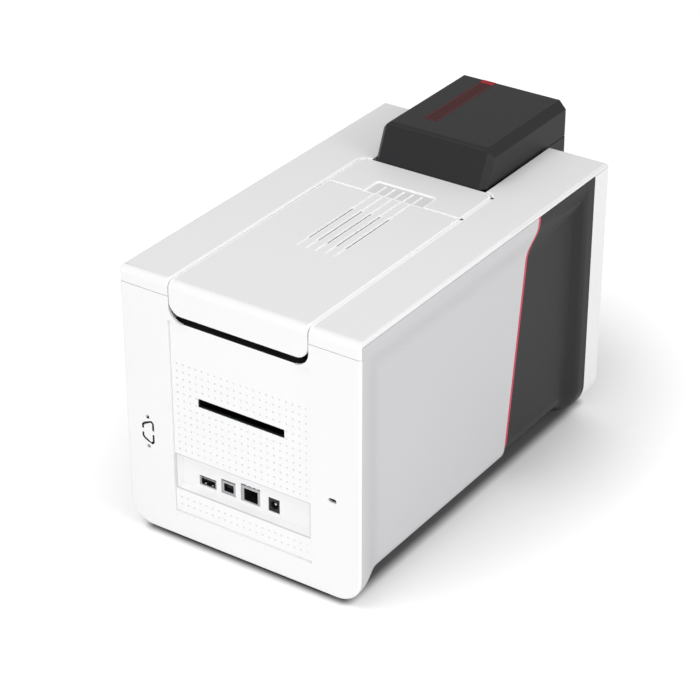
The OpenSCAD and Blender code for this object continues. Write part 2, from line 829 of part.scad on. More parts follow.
// The lid's outer block: soft top edges, a rounded rear edge and a lip with round lower corners
module lid_block(inset) intersection() {
    along_y(lid_front, y_rear) difference() {
        round_rect([-lid_x + inset, z_lip], [lid_x - inset, z_top - inset], lip_r, low = true, high = false);
        for (s = [0, 1])
            translate([(2 * s - 1) * (lid_x - inset), z_top - inset]) scale_corner(s, 1, soft_r);
    }
    along_x(-lid_x, lid_x) difference() {
        translate([lid_front + inset, z_lip])
            square([y_rear - lid_front - 2 * inset, lip_h - inset]);
        translate([y_rear - inset, z_top - inset]) scale_corner(1, 1, rear_edge_r - inset);
        translate([lid_front + inset, z_top - inset]) scale_corner(0, 1, soft_r);
    }
}

module lid() color(white) difference() {
    union() {
        difference() {
            lid_block(0);
            lid_inner();
            box([-half_w, lid_front - over, z_lip - over], [half_w, y_rear - wall, z_skirt]);
        }
        both() rod_x(lid_x - wall - 4, lid_x - eps, hinge_y, hinge_z, hinge_pin_r + 2.2);
    }
    for (i = [-2:2]) {
        box([i * vent_pitch - vent_w / 2, y_cross + vent_start, z_top - groove_d],
            [i * vent_pitch + vent_w / 2, y_cross + vent_start + vent_l, z_top + over]);
        box([i * vent_pitch - vent_slit / 2, y_cross + vent_start + 1, z_top - 2 * wall],
            [i * vent_pitch + vent_slit / 2, y_cross + vent_start + vent_l - 1, z_top + over]);
        box([i * vent_pitch - groove_w / 2, lid_front - over, z_top - groove_d],
            [i * vent_pitch + groove_w / 2, y_cross + vent_start + vent_l + groove_l, z_top + over]);
    }
    rod_x(-half_w, half_w, hinge_y, hinge_z, hinge_pin_r + running);
}

// The hollow inside the lid
module lid_inner() {
    box([-lid_x + wall, lid_front + wall, z_lip - over], [lid_x - wall, y_rear - wall, z_top - wall]);
}

frame_x = lid_x - wall - 0.4;
frame_front = hinge_y + 8.4;
frame_rear = y_rear - wall - 0.6;
frame_top = z_top - wall - 0.2;

module lid_frame() color(black) difference() {
    box([-frame_x, frame_front, z_skirt - 0.5], [frame_x, frame_rear, frame_top]);
    for (p = [[frame_front + 3, fan_y - fan_w / 2 - 3.3], [fan_y + fan_w / 2 + 3.3, exit_y + 8],
            [exit_y + 11, frame_rear - 3]])
        box([-frame_x + 3, p[0], z_skirt + 1.5], [frame_x - 3, p[1], z_top]);
    both() box([fan_w / 2 + 3.3, fan_y - fan_w / 2 - 0.3, z_skirt + 1.5],
        [frame_x - 3, fan_y + fan_w / 2 + 0.3, z_top]);
    box([-fan_w / 2 - 0.2, fan_y - fan_w / 2 - 0.2, z_skirt - over],
        [fan_w / 2 + 0.2, fan_y + fan_w / 2 + 0.2, z_top]);
}

// Posts below the lid's frame that carry the catch magnets
module catch_posts() color(black) both()
    box([35, y_rear - 17.5, magnet_top], [45, y_rear - 7.5, z_skirt - 0.5]);
magnet_top = panel_top + 3.4;

module lid_magnets() color(steel) both()
    rod_z(panel_top - 0.6, magnet_top, 40, y_rear - 12.5, 4);

module lid_hinge_pins() color(steel) both()
    rod_x(lid_x - wall - 4.6, bay_x + wall + 3, hinge_y, hinge_z, hinge_pin_r);

// Bracket that carries the print head below the lid
module head_bracket() color(steel) union() {
    plate_in = sink_x + 3;
    both() difference() {
        box([plate_in, sink_y - 15, head_pin_z - 4], [plate_in + 1.5, sink_y + 15, z_skirt - 0.5]);
        rod_x(plate_in - over, plate_in + 1.5 + over, sink_y, head_pin_z, head_pin_r + running);
        rod_x(plate_in - over, plate_in + 1.5 + over, sink_y, head_pin_z + head_travel, head_pin_r + running);
        box([plate_in - over, sink_y - head_pin_r - running, head_pin_z],
            [plate_in + 1.5 + over, sink_y + head_pin_r + running, head_pin_z + head_travel]);
    }
    both() box([plate_in + 1.5 - eps, sink_y - 15, z_skirt - 2], [plate_in + 9, sink_y + 15, z_skirt - 0.5]);
    box([-plate_in - eps, sink_y - 10, cross_z], [plate_in + eps, sink_y + 10, cross_z + 1.5]);
}

module head_springs() color(steel) both() difference() {
    rod_z(sink_top + 0.02, cross_z, 20, sink_y, 3.2);
    rod_z(sink_top - over, cross_z + over, 20, sink_y, 2.4);
}

module print_head() color(steel) union() {
    difference() {
        box([-sink_x, sink_y - sink_l / 2, sink_low], [sink_x, sink_y + sink_l / 2, sink_top]);
        for (i = [-3:3], s = [-1, 1])
            box([i * 9 - 3, sink_y + s * (sink_l / 2 - 2.5) - 3, sink_low + 7],
                [i * 9 + 3, sink_y + s * (sink_l / 2 - 2.5) + 3, sink_top - 3]);
    }
    box([-ribbon_w / 2, sink_y - 3.5, head_z], [ribbon_w / 2, sink_y + 4.5, sink_low + eps]);
    both() rod_x(sink_x - eps, sink_x + 5.5, sink_y, head_pin_z, head_pin_r);
}

module fan_frame() color(dark) difference() {
    box([-fan_w / 2, fan_y - fan_w / 2, fan_z - fan_h], [fan_w / 2, fan_y + fan_w / 2, fan_z]);
    difference() {
        rod_z(fan_z - fan_h - over, fan_z + over, 0, fan_y, fan_w / 2 - 1.4);
        rod_z(fan_z - fan_h - 2 * over, fan_z - fan_h + 1.5, 0, fan_y, 8);
        for (a = [30:120:359])
            translate([0, fan_y, fan_z - fan_h]) rotate([0, 0, a])
                translate([0, -1.5, -2 * over]) cube([fan_w / 2, 3, 2 * over + 1.5]);
    }
}

module fan_rotor() color(black) {
    rod_z(fan_z - fan_h + 1.9, fan_z - 0.8, 0, fan_y, 9);
    intersection() {
        for (a = [0:1:6])
            translate([0, fan_y, fan_z - fan_h / 2 + 0.4]) rotate([0, 0, a * 360 / 7])
                translate([8, 0, 0]) rotate([35, 0, 0]) cube([2 * fan_w, 1, 8.5], center = true);
        difference() {
            rod_z(fan_z - fan_h + 2.2, fan_z - 1.1, 0, fan_y, fan_w / 2 - 2.1);
            rod_z(fan_z - fan_h, fan_z, 0, fan_y, 8.9);
        }
    }
}

// Chassis

module chassis_base() color(steel) difference() {
    union() {
        box([-plate_x - plate_t, chassis_front, chassis_z],
            [plate_x + plate_t, chassis_rear, chassis_z + plate_t]);
        // rails that the output hopper slides on
        both() box([hopper_x - 9, chassis_front, chassis_z + plate_t - eps],
            [hopper_x - 5, hopper_front + hopper_l, z_hopper - 0.3]);
        // posts of the main board
        for (x = [-1, 1], y = [board_front + 8, pocket_y - 14])
            rod_z(chassis_z + plate_t - eps, board_z - board_t, x * (plate_x - 10), y, 3);
    }
    for (p = base_posts) rod_z(chassis_z - over, chassis_z + plate_t + over, p.x, p.y, screw_r + 0.15);
}
board_front = pocket_y - 2.2 - board_l;

// One chassis plate, seen from the side
module plate_profile() {
    low = chassis_z + plate_t;
    difference() {
        polygon([
            [chassis_front, low], [chassis_rear, low], [chassis_rear, path_z + 12],
            [chassis_rear - 16, chassis_top], [takeup_y - 20, chassis_top],
            [takeup_y - 30, chassis_top - 25], [nose_step, chassis_top - 25],
            [nose_step, feeder_low - 0.3], [chassis_front, feeder_low - 0.3]]);
        for (y = [supply_y, takeup_y]) {
            translate([y, spool_z]) circle(journal_r + running);
            translate([y - journal_r - running, spool_z])
                square([2 * (journal_r + running), 2 * chassis_top]);
        }
        for (y = [entry_y, platen_y, exit_y]) translate([y, roller_z]) circle(bush_r + 0.02);
        for (y = [entry_y, exit_y]) translate([y, pinch_z]) circle(small_bush_r + 0.02);
        translate([cleaning_y, cleaning_z]) circle(small_bush_r + 0.02);
        translate([flap_y, flap_z]) circle(pinch_shaft_r + running);
        // windows that lighten the plate
        for (y = [chassis_front + 20, chassis_front + 60, entry_y + 34, entry_y + 74, entry_y + 114])
            translate([y, low + 20]) square([34, 36]);
    }
}
bush_r = 5;
small_bush_r = 3.6;
flap_y = feeder_rear + 3.3;
flap_z = card_low - 5.5;

// Both side plates: one has holes for the ribbon motor's spacers, the other one for the transport motor's boss
module chassis_plates() color(steel) {
    difference() {
        along_x(plate_x, plate_x + plate_t) plate_profile();
        for (s = [-1, 1])
            rod_x(plate_x - over, plate_x + plate_t + over, takeup_y + 16.5 * s, ribbon_motor_z - 7, 1.4);
    }
    difference() {
        along_x(-plate_x - plate_t, -plate_x) plate_profile();
        rod_x(-plate_x - plate_t - over, -plate_x + over, entry_y, motor_z, 11);
    }
}

// Rings that the shafts turn in, in both plates and in the feeder's sides
module bushes() color(brass) both() {
    for (y = [entry_y, platen_y, exit_y])
        ring_x(plate_x - 0.6, plate_x + plate_t + 0.6, y, roller_z, bush_r, shaft_r);
    for (y = [entry_y, exit_y])
        ring_x(plate_x - 0.6, plate_x + plate_t + 0.4, y, pinch_z, small_bush_r, pinch_shaft_r);
    ring_x(plate_x - 0.6, plate_x + plate_t + 0.4, cleaning_y, cleaning_z, small_bush_r, pinch_shaft_r);
    ring_x(feeder_x - wall - 0.6, feeder_x + 0.3, feed_y, roller_z, bush_r, shaft_r);
}

// A bush around a shaft along X
module ring_x(x0, x1, y, z, r_out, r_shaft) difference() {
    rod_x(x0, x1, y, z, r_out);
    rod_x(x0 - over, x1 + over, y, z, r_shaft + running);
}

// Channels that hold the card's edges, and the chute that leads down to the hopper
module card_guides() color(dark) {
    both() for (span = [[flap_y - 1.2, platen_y - 14, platen_y - 32],
            [platen_y + 17, chassis_rear + 3, exit_y + 25]]) union() {
        difference() {
            box([guide_in, span[0], card_low - 2.9], [guide_out, span[1], card_high + 2.5]);
            box([guide_in - over, span[0] - over, card_low - 0.4],
                [card_w / 2 + 0.3, span[1] + over, card_high + 0.5]);
        }
        for (y = [span[0] + 9, span[2]])
            box([guide_out - eps, y, card_low - 2.9], [plate_x - 0.05, y + 8, card_low - 0.4]);
    }
    along_x(-plate_x + 0.1, plate_x - 0.1) polygon([
        [chute_rear, feeder_low + 6.7], [chute_rear, feeder_low + 5.5],
        [feeder_rear, feeder_low - 3.2], [chute_front, feeder_low - 3.6],
        [chute_front, feeder_low - 2.4], [feeder_rear, feeder_low - 2]]);
}
chute_rear = entry_y - motor_w / 2 - 6;
chute_front = hopper_front + hopper_l + 0.8;

module diverter_flap() color(steel) union() {
    rod_x(-plate_x - 1, plate_x + 1, flap_y, flap_z, pinch_shaft_r);
    box([-sleeve_x, flap_y, flap_z - 0.7], [sleeve_x, flap_y + 16, flap_z + 0.7]);
}

// A roller: a steel shaft with a rubber sleeve
module roller(x0, x1, y, z, r_shaft, r, half) {
    rod_x(x0, x1, y, z, r_shaft);
    difference() {
        rod_x(-half, half, y, z, r);
        rod_x(-half - over, half + over, y, z, r_shaft);
    }
}

// A belt pulley on a shaft, in the layer that starts at x and runs outwards to -X
module pulley(x, y) difference() {
    rod_x(x - belt_w - 0.6, x, y, roller_z, roller_r);
    rod_x(x - belt_w - over, x + over, y, roller_z, shaft_r);
}

shaft_end = plate_x + plate_t + 0.6;

module platen_roller() color(rubber) {
    roller(layer_b + 0.8, shaft_end, platen_y, roller_z, shaft_r, roller_r, card_w / 2 + 1);
    pulley(layer_a, platen_y);
}

module exit_roller() color(rubber) {
    roller(layer_b + 0.8, shaft_end, exit_y, roller_z, shaft_r, roller_r, sleeve_x);
    pulley(layer_a, exit_y);
}

module entry_roller() color(rubber) {
    roller(layer_gear - gear_w - 1.5, shaft_end, entry_y, roller_z, shaft_r, roller_r, sleeve_x);
    pulley(layer_a, entry_y);
    pulley(layer_b, entry_y);
    gear_x(layer_gear - gear_w, layer_gear, entry_y, roller_z, entry_gear_n, shaft_r, 0);
}

module feed_roller() color(rubber) {
    roller(layer_b - belt_w - 1.2, feeder_x + 0.6, feed_y, roller_z, shaft_r, roller_r, sleeve_x);
    pulley(layer_b, feed_y);
}

module entry_pinch() color(rubber)
    roller(-shaft_end, shaft_end, entry_y, pinch_z, pinch_shaft_r, pinch_r, sleeve_x);
module exit_pinch() color(rubber)
    roller(-shaft_end, shaft_end, exit_y, pinch_z, pinch_shaft_r, pinch_r, sleeve_x);
module cleaning_roller() color(red)
    roller(-shaft_end, shaft_end, cleaning_y, cleaning_z, pinch_shaft_r, roller_r, sleeve_x);

// A spur gear's outline: straight-sided teeth, a little thin so that a pair runs free
module gear_outline(n) {
    rp = n * gear_m / 2;
    half = 90 / n;
    polygon([for (i = [0:n - 1], p = [
            [rp - 1.2 * gear_m, -1.5 * half], [rp - 0.5 * gear_m, -1.12 * half],
            [rp, -0.88 * half], [rp + 0.8 * gear_m, -0.42 * half],
            [rp + 0.8 * gear_m, 0.42 * half], [rp, 0.88 * half],
            [rp - 0.5 * gear_m, 1.12 * half], [rp - 1.2 * gear_m, 1.5 * half]])
        let (a = i * 360 / n + p[1]) [p[0] * cos(a), p[0] * sin(a)]]);
}

// A gear along X, turned by angle, with a bore
module gear_x(x0, x1, y, z, n, bore, angle) difference() {
    translate([x0, y, z]) rotate([90, 0, 90]) rotate([0, 0, angle]) linear_extrude(x1 - x0) gear_outline(n);
    rod_x(x0 - over, x1 + over, y, z, bore);
}

// Angle that puts a tooth gap of a pinion above the followed gear's tooth, straight below it
function mesh_angle(n, big_n) =
    90 + 180 / n + (0.75 * big_n - floor(0.75 * big_n)) * 360 / n;

module motor_pinion() color(brass) {
    rod_x(layer_gear - gear_w - 0.5, -plate_x + motor_l - 8, entry_y, motor_z, 2.5);
    gear_x(layer_gear - gear_w, layer_gear, entry_y, motor_z, pinion_n, 2.5,
        mesh_angle(pinion_n, entry_gear_n));
}

module transport_motor() color(dark) difference() {
    union() {
        along_x(-plate_x + 0.3, -plate_x + motor_l)
            translate([entry_y, motor_z]) intersection() {
                square(motor_w, center = true);
                rotate(45) square(motor_w * 1.3, center = true);
            }
        rod_x(-plate_x - 1.2, -plate_x + 0.4, entry_y, motor_z, 10.9);
    }
    rod_x(-plate_x - 2 * over, -plate_x + motor_l - 7, entry_y, motor_z, 2.5 + running);
}

// The belts' run around two pulleys of one size
module belt_loop(x, y0, y1) {
    inner = roller_r + belt_gap;
    outer = inner + belt_t;
    difference() {
        union() {
            rod_x(x - belt_w - 0.3, x - 0.3, y0, roller_z, outer);
            rod_x(x - belt_w - 0.3, x - 0.3, y1, roller_z, outer);
            box([x - belt_w - 0.3, y0, roller_z - outer], [x - 0.3, y1, roller_z + outer]);
        }
        rod_x(x - belt_w - over, x, y0, roller_z, inner);
        rod_x(x - belt_w - over, x, y1, roller_z, inner);
        box([x - belt_w - over, y0, roller_z - inner], [x, y1, roller_z + inner]);
    }
}

module drive_belts() color(rubber) {
    belt_loop(layer_a, entry_y, exit_y);
    belt_loop(layer_b, feed_y, entry_y);
}

// Ribbon

module supply_spool() color(dark) {
    spool(supply_y, supply_r, plate_x + plate_t + 0.6);
}

module takeup_spool() color(dark) {
    spool(takeup_y, takeup_r, spool_gear_x + gear_w);
}

// A spool: a core with journals, and the ribbon wound on it
module spool(y, r, end) {
    core = 6;
    union() {
        rod_x(-plate_x - plate_t - 0.6, end, y, spool_z, journal_r);
        rod_x(-sink_x - 1, sink_x + 1, y, spool_z, core);
    }
    difference() {
        rod_x(-ribbon_w / 2, ribbon_w / 2, y, spool_z, r);
        rod_x(-ribbon_w, ribbon_w, y, spool_z, core);
    }
}

module takeup_gear() color(white)
    gear_x(spool_gear_x, spool_gear_x + gear_w, takeup_y, spool_z, takeup_gear_n, journal_r, 0);

module ribbon_pinion() color(brass) {
    rod_x(spool_gear_x, spool_gear_x + gear_w + 8, takeup_y, ribbon_motor_z, 1.5);
    gear_x(spool_gear_x, spool_gear_x + gear_w, takeup_y, ribbon_motor_z, pinion_n, 1.5,
        mesh_angle(pinion_n, takeup_gear_n));
}

module ribbon_motor() color(steel) difference() {
    x0 = spool_gear_x + gear_w + 1;
    union() {
        box([x0, takeup_y - 19, ribbon_motor_z - 12], [x0 + 1.5, takeup_y + 19, ribbon_motor_z + 10]);
        rod_x(x0 + 1.5 - eps, x0 + 25, takeup_y, ribbon_motor_z, 12);
        for (s = [-1, 1]) {
            rod_x(plate_x + plate_t + 0.02, x0 + eps, takeup_y + 16.5 * s, ribbon_motor_z - 7, 2.5);
            rod_x(plate_x + 0.2, x0 + eps, takeup_y + 16.5 * s, ribbon_motor_z - 7, 1.35);
        }
    }
    rod_x(x0 - over, x0 + 9, takeup_y, ribbon_motor_z, 1.5 + running);
}

// The film's run: down from the supply roll, under the print head and up to the take-up roll
module ribbon_film() color(dark) {
    film = 0.2;
    z = card_high + 0.22;
    along_x(-ribbon_w / 2, ribbon_w / 2) polygon([
        [takeup_y + takeup_r * cos(25) + 0.35, spool_z - takeup_r * sin(25)],
        [sink_y - 10, z], [sink_y + 10, z],
        [supply_y - supply_r * cos(65) - 0.2, spool_z - supply_r * sin(65) - 0.3],
        [supply_y - supply_r * cos(65) - 0.2, spool_z - supply_r * sin(65) - 0.3 + film],
        [sink_y + 10, z + film], [sink_y - 10, z + film],
        [takeup_y + takeup_r * cos(25) + 0.35 + film, spool_z - takeup_r * sin(25)]]);
}

// Main board and its ports

host_w = 14.6;
host_h = 7.6;
device_w = 12.4;
device_h = 11.4;
network_w = 16.5;
network_h = 14;
inlet_w = 9.4;
inlet_h = 11.2;
port_y = pocket_y - 0.5;

module main_board() color(green) union() {
    box([4 - plate_x, board_front, board_z - board_t], [plate_x - 2, pocket_y - 2.2, board_z]);
    box([-12, board_front + 22, board_z - eps], [12, board_front + 46, board_z + 2.2]);
    for (i = [0:3]) rod_z(board_z - eps, board_z + 12, -34 + 12 * i, board_front + 10, 4.5);
    for (s = [-1, 1])
        box([s * 30 - 6, board_front + 26, board_z - eps], [s * 30 + 6, board_front + 40, board_z + 1.6]);
}

module usb_host_port() color(steel) difference() {
    box([host_x - host_w / 2, port_y - 14, board_z], [host_x + host_w / 2, port_y, board_z + host_h]);
    difference() {
        box([host_x - 6.3, port_y - 12, board_z + 1.2], [host_x + 6.3, port_y + over, board_z + 6.4]);
        box([host_x - 5.3, port_y - 13, board_z + 3.9], [host_x + 5.3, port_y - 1, board_z + 5.7]);
    }
}

module usb_device_port() color(steel) difference() {
    box([device_x - device_w / 2, port_y - 15, board_z],
        [device_x + device_w / 2, port_y, board_z + device_h]);
    difference() {
        along_y(port_y - 12, port_y + over) polygon([
            [device_x - 4.3, board_z + 1.8], [device_x + 4.3, board_z + 1.8],
            [device_x + 4.3, board_z + 8.2], [device_x + 2.7, board_z + 9.6],
            [device_x - 2.7, board_z + 9.6], [device_x - 4.3, board_z + 8.2]]);
        box([device_x - 2.8, port_y - 13, board_z + 4], [device_x + 2.8, port_y - 1, board_z + 7.2]);
    }
}

module ethernet_port() color(steel) difference() {
    box([network_x - network_w / 2, port_y - 18, board_z],
        [network_x + network_w / 2, port_y, board_z + network_h]);
    box([network_x - 5.95, port_y - 14, board_z + 4], [network_x + 5.95, port_y + over, board_z + 12]);
    box([network_x - 3.1, port_y - 14, board_z + 1.6], [network_x + 3.1, port_y + over, board_z + 4 + eps]);
}

module power_inlet() color(black) {
    difference() {
        box([inlet_x - inlet_w / 2, port_y - 13, board_z],
            [inlet_x + inlet_w / 2, port_y, board_z + inlet_h]);
        difference() {
            rod_y(port_y - 10, port_y + over, inlet_x, board_z + inlet_h / 2, 3.2);
            rod_y(port_y - 10 - over, port_y - 1.5, inlet_x, board_z + inlet_h / 2, 1.05);
        }
    }
}

// Feeder

module feeder_housing() color(black) difference() {
    union() {
        difference() {
            union() {
                box([-feeder_x, feeder_front, feeder_low], [feeder_x, step_y, deck_high]);
                box([-feeder_x, step_y - eps, feeder_low], [feeder_x, feeder_rear - 2.7, deck_low]);
            }
            box([-feeder_x + wall, feeder_front + wall, feeder_low - over],
                [feeder_x - wall, step_y - wall, deck_high - wall]);
            box([-feeder_x + wall, step_y - wall - eps, feeder_low - over],
                [feeder_x - wall, feeder_rear - 2.7 - wall, deck_low - wall]);
        }
        box([-bay_half - bay_wall, bay_front - bay_wall, bay_floor - 2.5],
            [bay_half + bay_wall, step_y - eps, deck_high - eps]);
        box([-bay_half - bay_wall, step_y - 2 * eps, bay_floor - 2.5],
            [bay_half + bay_wall, bay_rear + bay_wall, deck_low - eps]);
        box([-bay_half, bay_rear, bay_floor - 2.5], [bay_half, feeder_rear - 2.7 - wall + eps, bay_floor]);
        both() cover_ear();
    }
    // the card bay, its exit and the openings around the feed roller
    box([-bay_half, bay_front, bay_floor], [bay_half, bay_rear, z_top + over]);
    box([-bay_half, bay_rear - over, bay_floor], [bay_half, bay_rear + bay_wall + over, bay_floor + 3.8]);
    box([-bay_half - 1, feeder_rear - 2.7 - wall - over, bay_floor],
        [bay_half + 1, feeder_rear, bay_floor + 3.8]);
    box([-sleeve_x - 0.7, feed_y - roller_r - 1, feeder_low - over],
        [sleeve_x + 0.7, feed_y + roller_r + 1, bay_floor + over]);
    rod_x(-feeder_x - over, feeder_x + over, feed_y, roller_z, bush_r + 0.02);
    // slot for the level window in the front, and for the thickness gauge in the deck
    box([window_x - window_w / 2, feeder_front - over, feeder_low + 4],
        [window_x + window_w / 2, feeder_front + wall + eps, deck_high + over]);
    box([-gauge_x - 0.4, bay_rear + bay_wall, deck_low - wall - over],
        [gauge_x + 0.4, bay_rear + bay_wall + 2, deck_low + over]);
    rod_x(-feeder_x, feeder_x, cover_hinge_y, cover_hinge_z, cover_pin_r + running);
}
gauge_x = 10;
ear_in = feeder_x - wall - 4.6;

// An arm that rises from the deck behind the card bay and carries the cover's hinge pin
module cover_ear() along_x(ear_in, ear_in + 2.8) {
    polygon([
        [step_y - 12, deck_high - 1], [step_y - 4, deck_high - 1],
        [cover_hinge_y + 2.6, cover_hinge_z - 4.2], [cover_hinge_y - 2, cover_hinge_z + 4.5],
        [step_y - 12, deck_high + 3]]);
    translate([cover_hinge_y, cover_hinge_z]) circle(cover_pin_r + 2.1);
}

module feeder_window() color(red)
    box([window_x - window_w / 2 + 0.1, feeder_front, feeder_low + 4.1],
        [window_x + window_w / 2 - 0.1, feeder_front + wall, deck_high]);

// The feeder cover's outer form, drawn in by t: its rear leans forward and has cut-off corners
module cover_form(t) {
    low = t > 0 ? cover_low - over : cover_low;
    x = feeder_x - t;
    front = feeder_front + t;
    top = feeder_top - t;
    ease = t * 0.4;
    lean_t = t * sqrt(1 + pow(rear_lean / feeder_up, 2));
    difference() {
        intersection() {
            along_y(front, feeder_rear) polygon([
                [-x, low], [x, low], [x, top - slope_h + ease], [x - slope_side + ease, top],
                [-x + slope_side - ease, top], [-x, top - slope_h + ease]]);
            along_x(-x, x) polygon([
                [front, low], [feeder_rear - lean_t, low], [feeder_rear - lean_t, z_top],
                [feeder_rear - lean_t - rear_lean * (1 - t / feeder_up), top], [front, top]]);
        }
        both() corner_cut(t);
    }
}

// The waste beyond a rear corner's slanted face, parallel to the leaning rear
module corner_cut(t) {
    n = [feeder_up * corner_cut_l, feeder_up * corner_cut_w, rear_lean * corner_cut_w];
    translate([feeder_x, feeder_rear - corner_cut_l, z_top] - n * t / norm(n))
        rotate([0, acos(n.z / norm(n)), atan2(n.y, n.x)])
        translate([-2 * feeder_up, -2 * feeder_up, 0]) cube([4 * feeder_up, 4 * feeder_up, 2 * feeder_up]);
}

module feeder_cover() color(black) difference() {
    union() {
        difference() {
            cover_form(0);
            cover_form(wall);
        }
        both() rod_x(ear_in - 0.6, feeder_x - wall + eps, cover_hinge_y, cover_hinge_z, cover_pin_r);
    }
    window_space(0);
}

// The level window's space in the cover's top and front, less the gap g
module window_space(g) {
    x0 = window_x - window_w / 2 + g;
    x1 = window_x + window_w / 2 - g;
    spare = g > 0 ? 0 : over;
    difference() {
        along_z(cover_low - spare, feeder_top + spare)
            round_rect([x0, feeder_front - spare], [x1, feeder_rear - window_back - g],
                window_r - g, low = false, high = true);
        box([x0 - over, feeder_front + wall, cover_low - 2 * over],
            [x1 + over, feeder_rear, feeder_top - wall]);
    }
}

module level_window() color(red) window_space(0.1);

module card_weight() color(dark) union() {
    box([-bay_half + 0.5, bay_front + 0.5, bay_floor + 1], [bay_half - 0.5, bay_rear - 0.5, bay_floor + 6]);
    box([-8, (bay_front + bay_rear) / 2 - 4, bay_floor + 6 - eps],
        [8, (bay_front + bay_rear) / 2 + 4, bay_floor + 10]);
}

module thickness_gauge() color(grey) union() {
    y = bay_rear + bay_wall + 0.2;
    box([-gauge_x, y, bay_floor + 1.4], [gauge_x, y + 1.5, deck_low + 1.4]);
}

// Output hopper and controls

module output_hopper() color(black) difference() {
    along_z(z_hopper, z_hopper + hopper_h)
        round_rect([-hopper_x, hopper_front], [hopper_x, hopper_front + hopper_l], 6,
            low = true, high = false);
    along_z(z_hopper + hopper_wall, z_hopper + hopper_h + over)
        round_rect([-hopper_x + hopper_wall, hopper_front + hopper_wall],
            [hopper_x - hopper_wall, hopper_front + hopper_l - hopper_wall],
            6 - hopper_wall, low = true, high = false);
    // finger notch in the front wall
    along_y(hopper_front - over, hopper_front + hopper_wall + over)
        round_rect([-14, z_hopper + hopper_h - 26], [14, z_hopper + hopper_h + over], 8,
            low = true, high = false);
}

module control_button() color(grey) union() {
    rod_y(y_front - 0.8, y_front + wall + 0.3, button_x, z_base + button_up, button_r);
    rod_y(y_front + wall + 0.2, y_front + wall + 1.8, button_x, z_base + button_up, button_r + 1.2);
}

module indicator_lenses() color(white)
    for (i = [-1:1])
        rod_y(y_front, y_front + 2 * wall, button_x + lens_pitch * i, z_base + button_up + lens_up, lens_r);

module screws() color(steel) for (p = base_posts) {
    rod_z(z_base + 1.2, z_base + 3, p.x, p.y, 3);
    rod_z(z_base + 3 - eps, chassis_z + plate_t + 2, p.x, p.y, screw_r);
}

base_tray();
feet();
rear_bezel();
port_panel();
front_bezel();
front_fascia();
top_frame();
hinge_cover();
side_panel_left();
side_panel_right();
side_cover_left();
side_cover_right();
side_trims();
chassis_base();
chassis_plates();
card_guides();
bushes();
drive_belts();
transport_motor();
ribbon_motor();
main_board();
usb_host_port();
usb_device_port();
ethernet_port();
power_inlet();
lock_plate();
indicator_lenses();
feeder_housing();
feeder_window();
ribbon_film();
screws();
lid();
lid_frame();
catch_posts();
lid_hinge_pins();
head_bracket();
fan_frame();
head_springs();
lid_magnets();
print_head();
fan_rotor();
supply_spool();
takeup_spool();
takeup_gear();
ribbon_pinion();
platen_roller();
entry_roller();
exit_roller();
feed_roller();
motor_pinion();
entry_pinch();
exit_pinch();
cleaning_roller();
diverter_flap();
feeder_cover();
level_window();
card_weight();
thickness_gauge();
output_hopper();
control_button();
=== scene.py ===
"""A desktop card printer, dressed for rendering: each section makes or finishes one piece or one group of like
pieces, in the order in which the machine goes together. Metres, +X to the left of someone at its rear, +Z up."""

import math

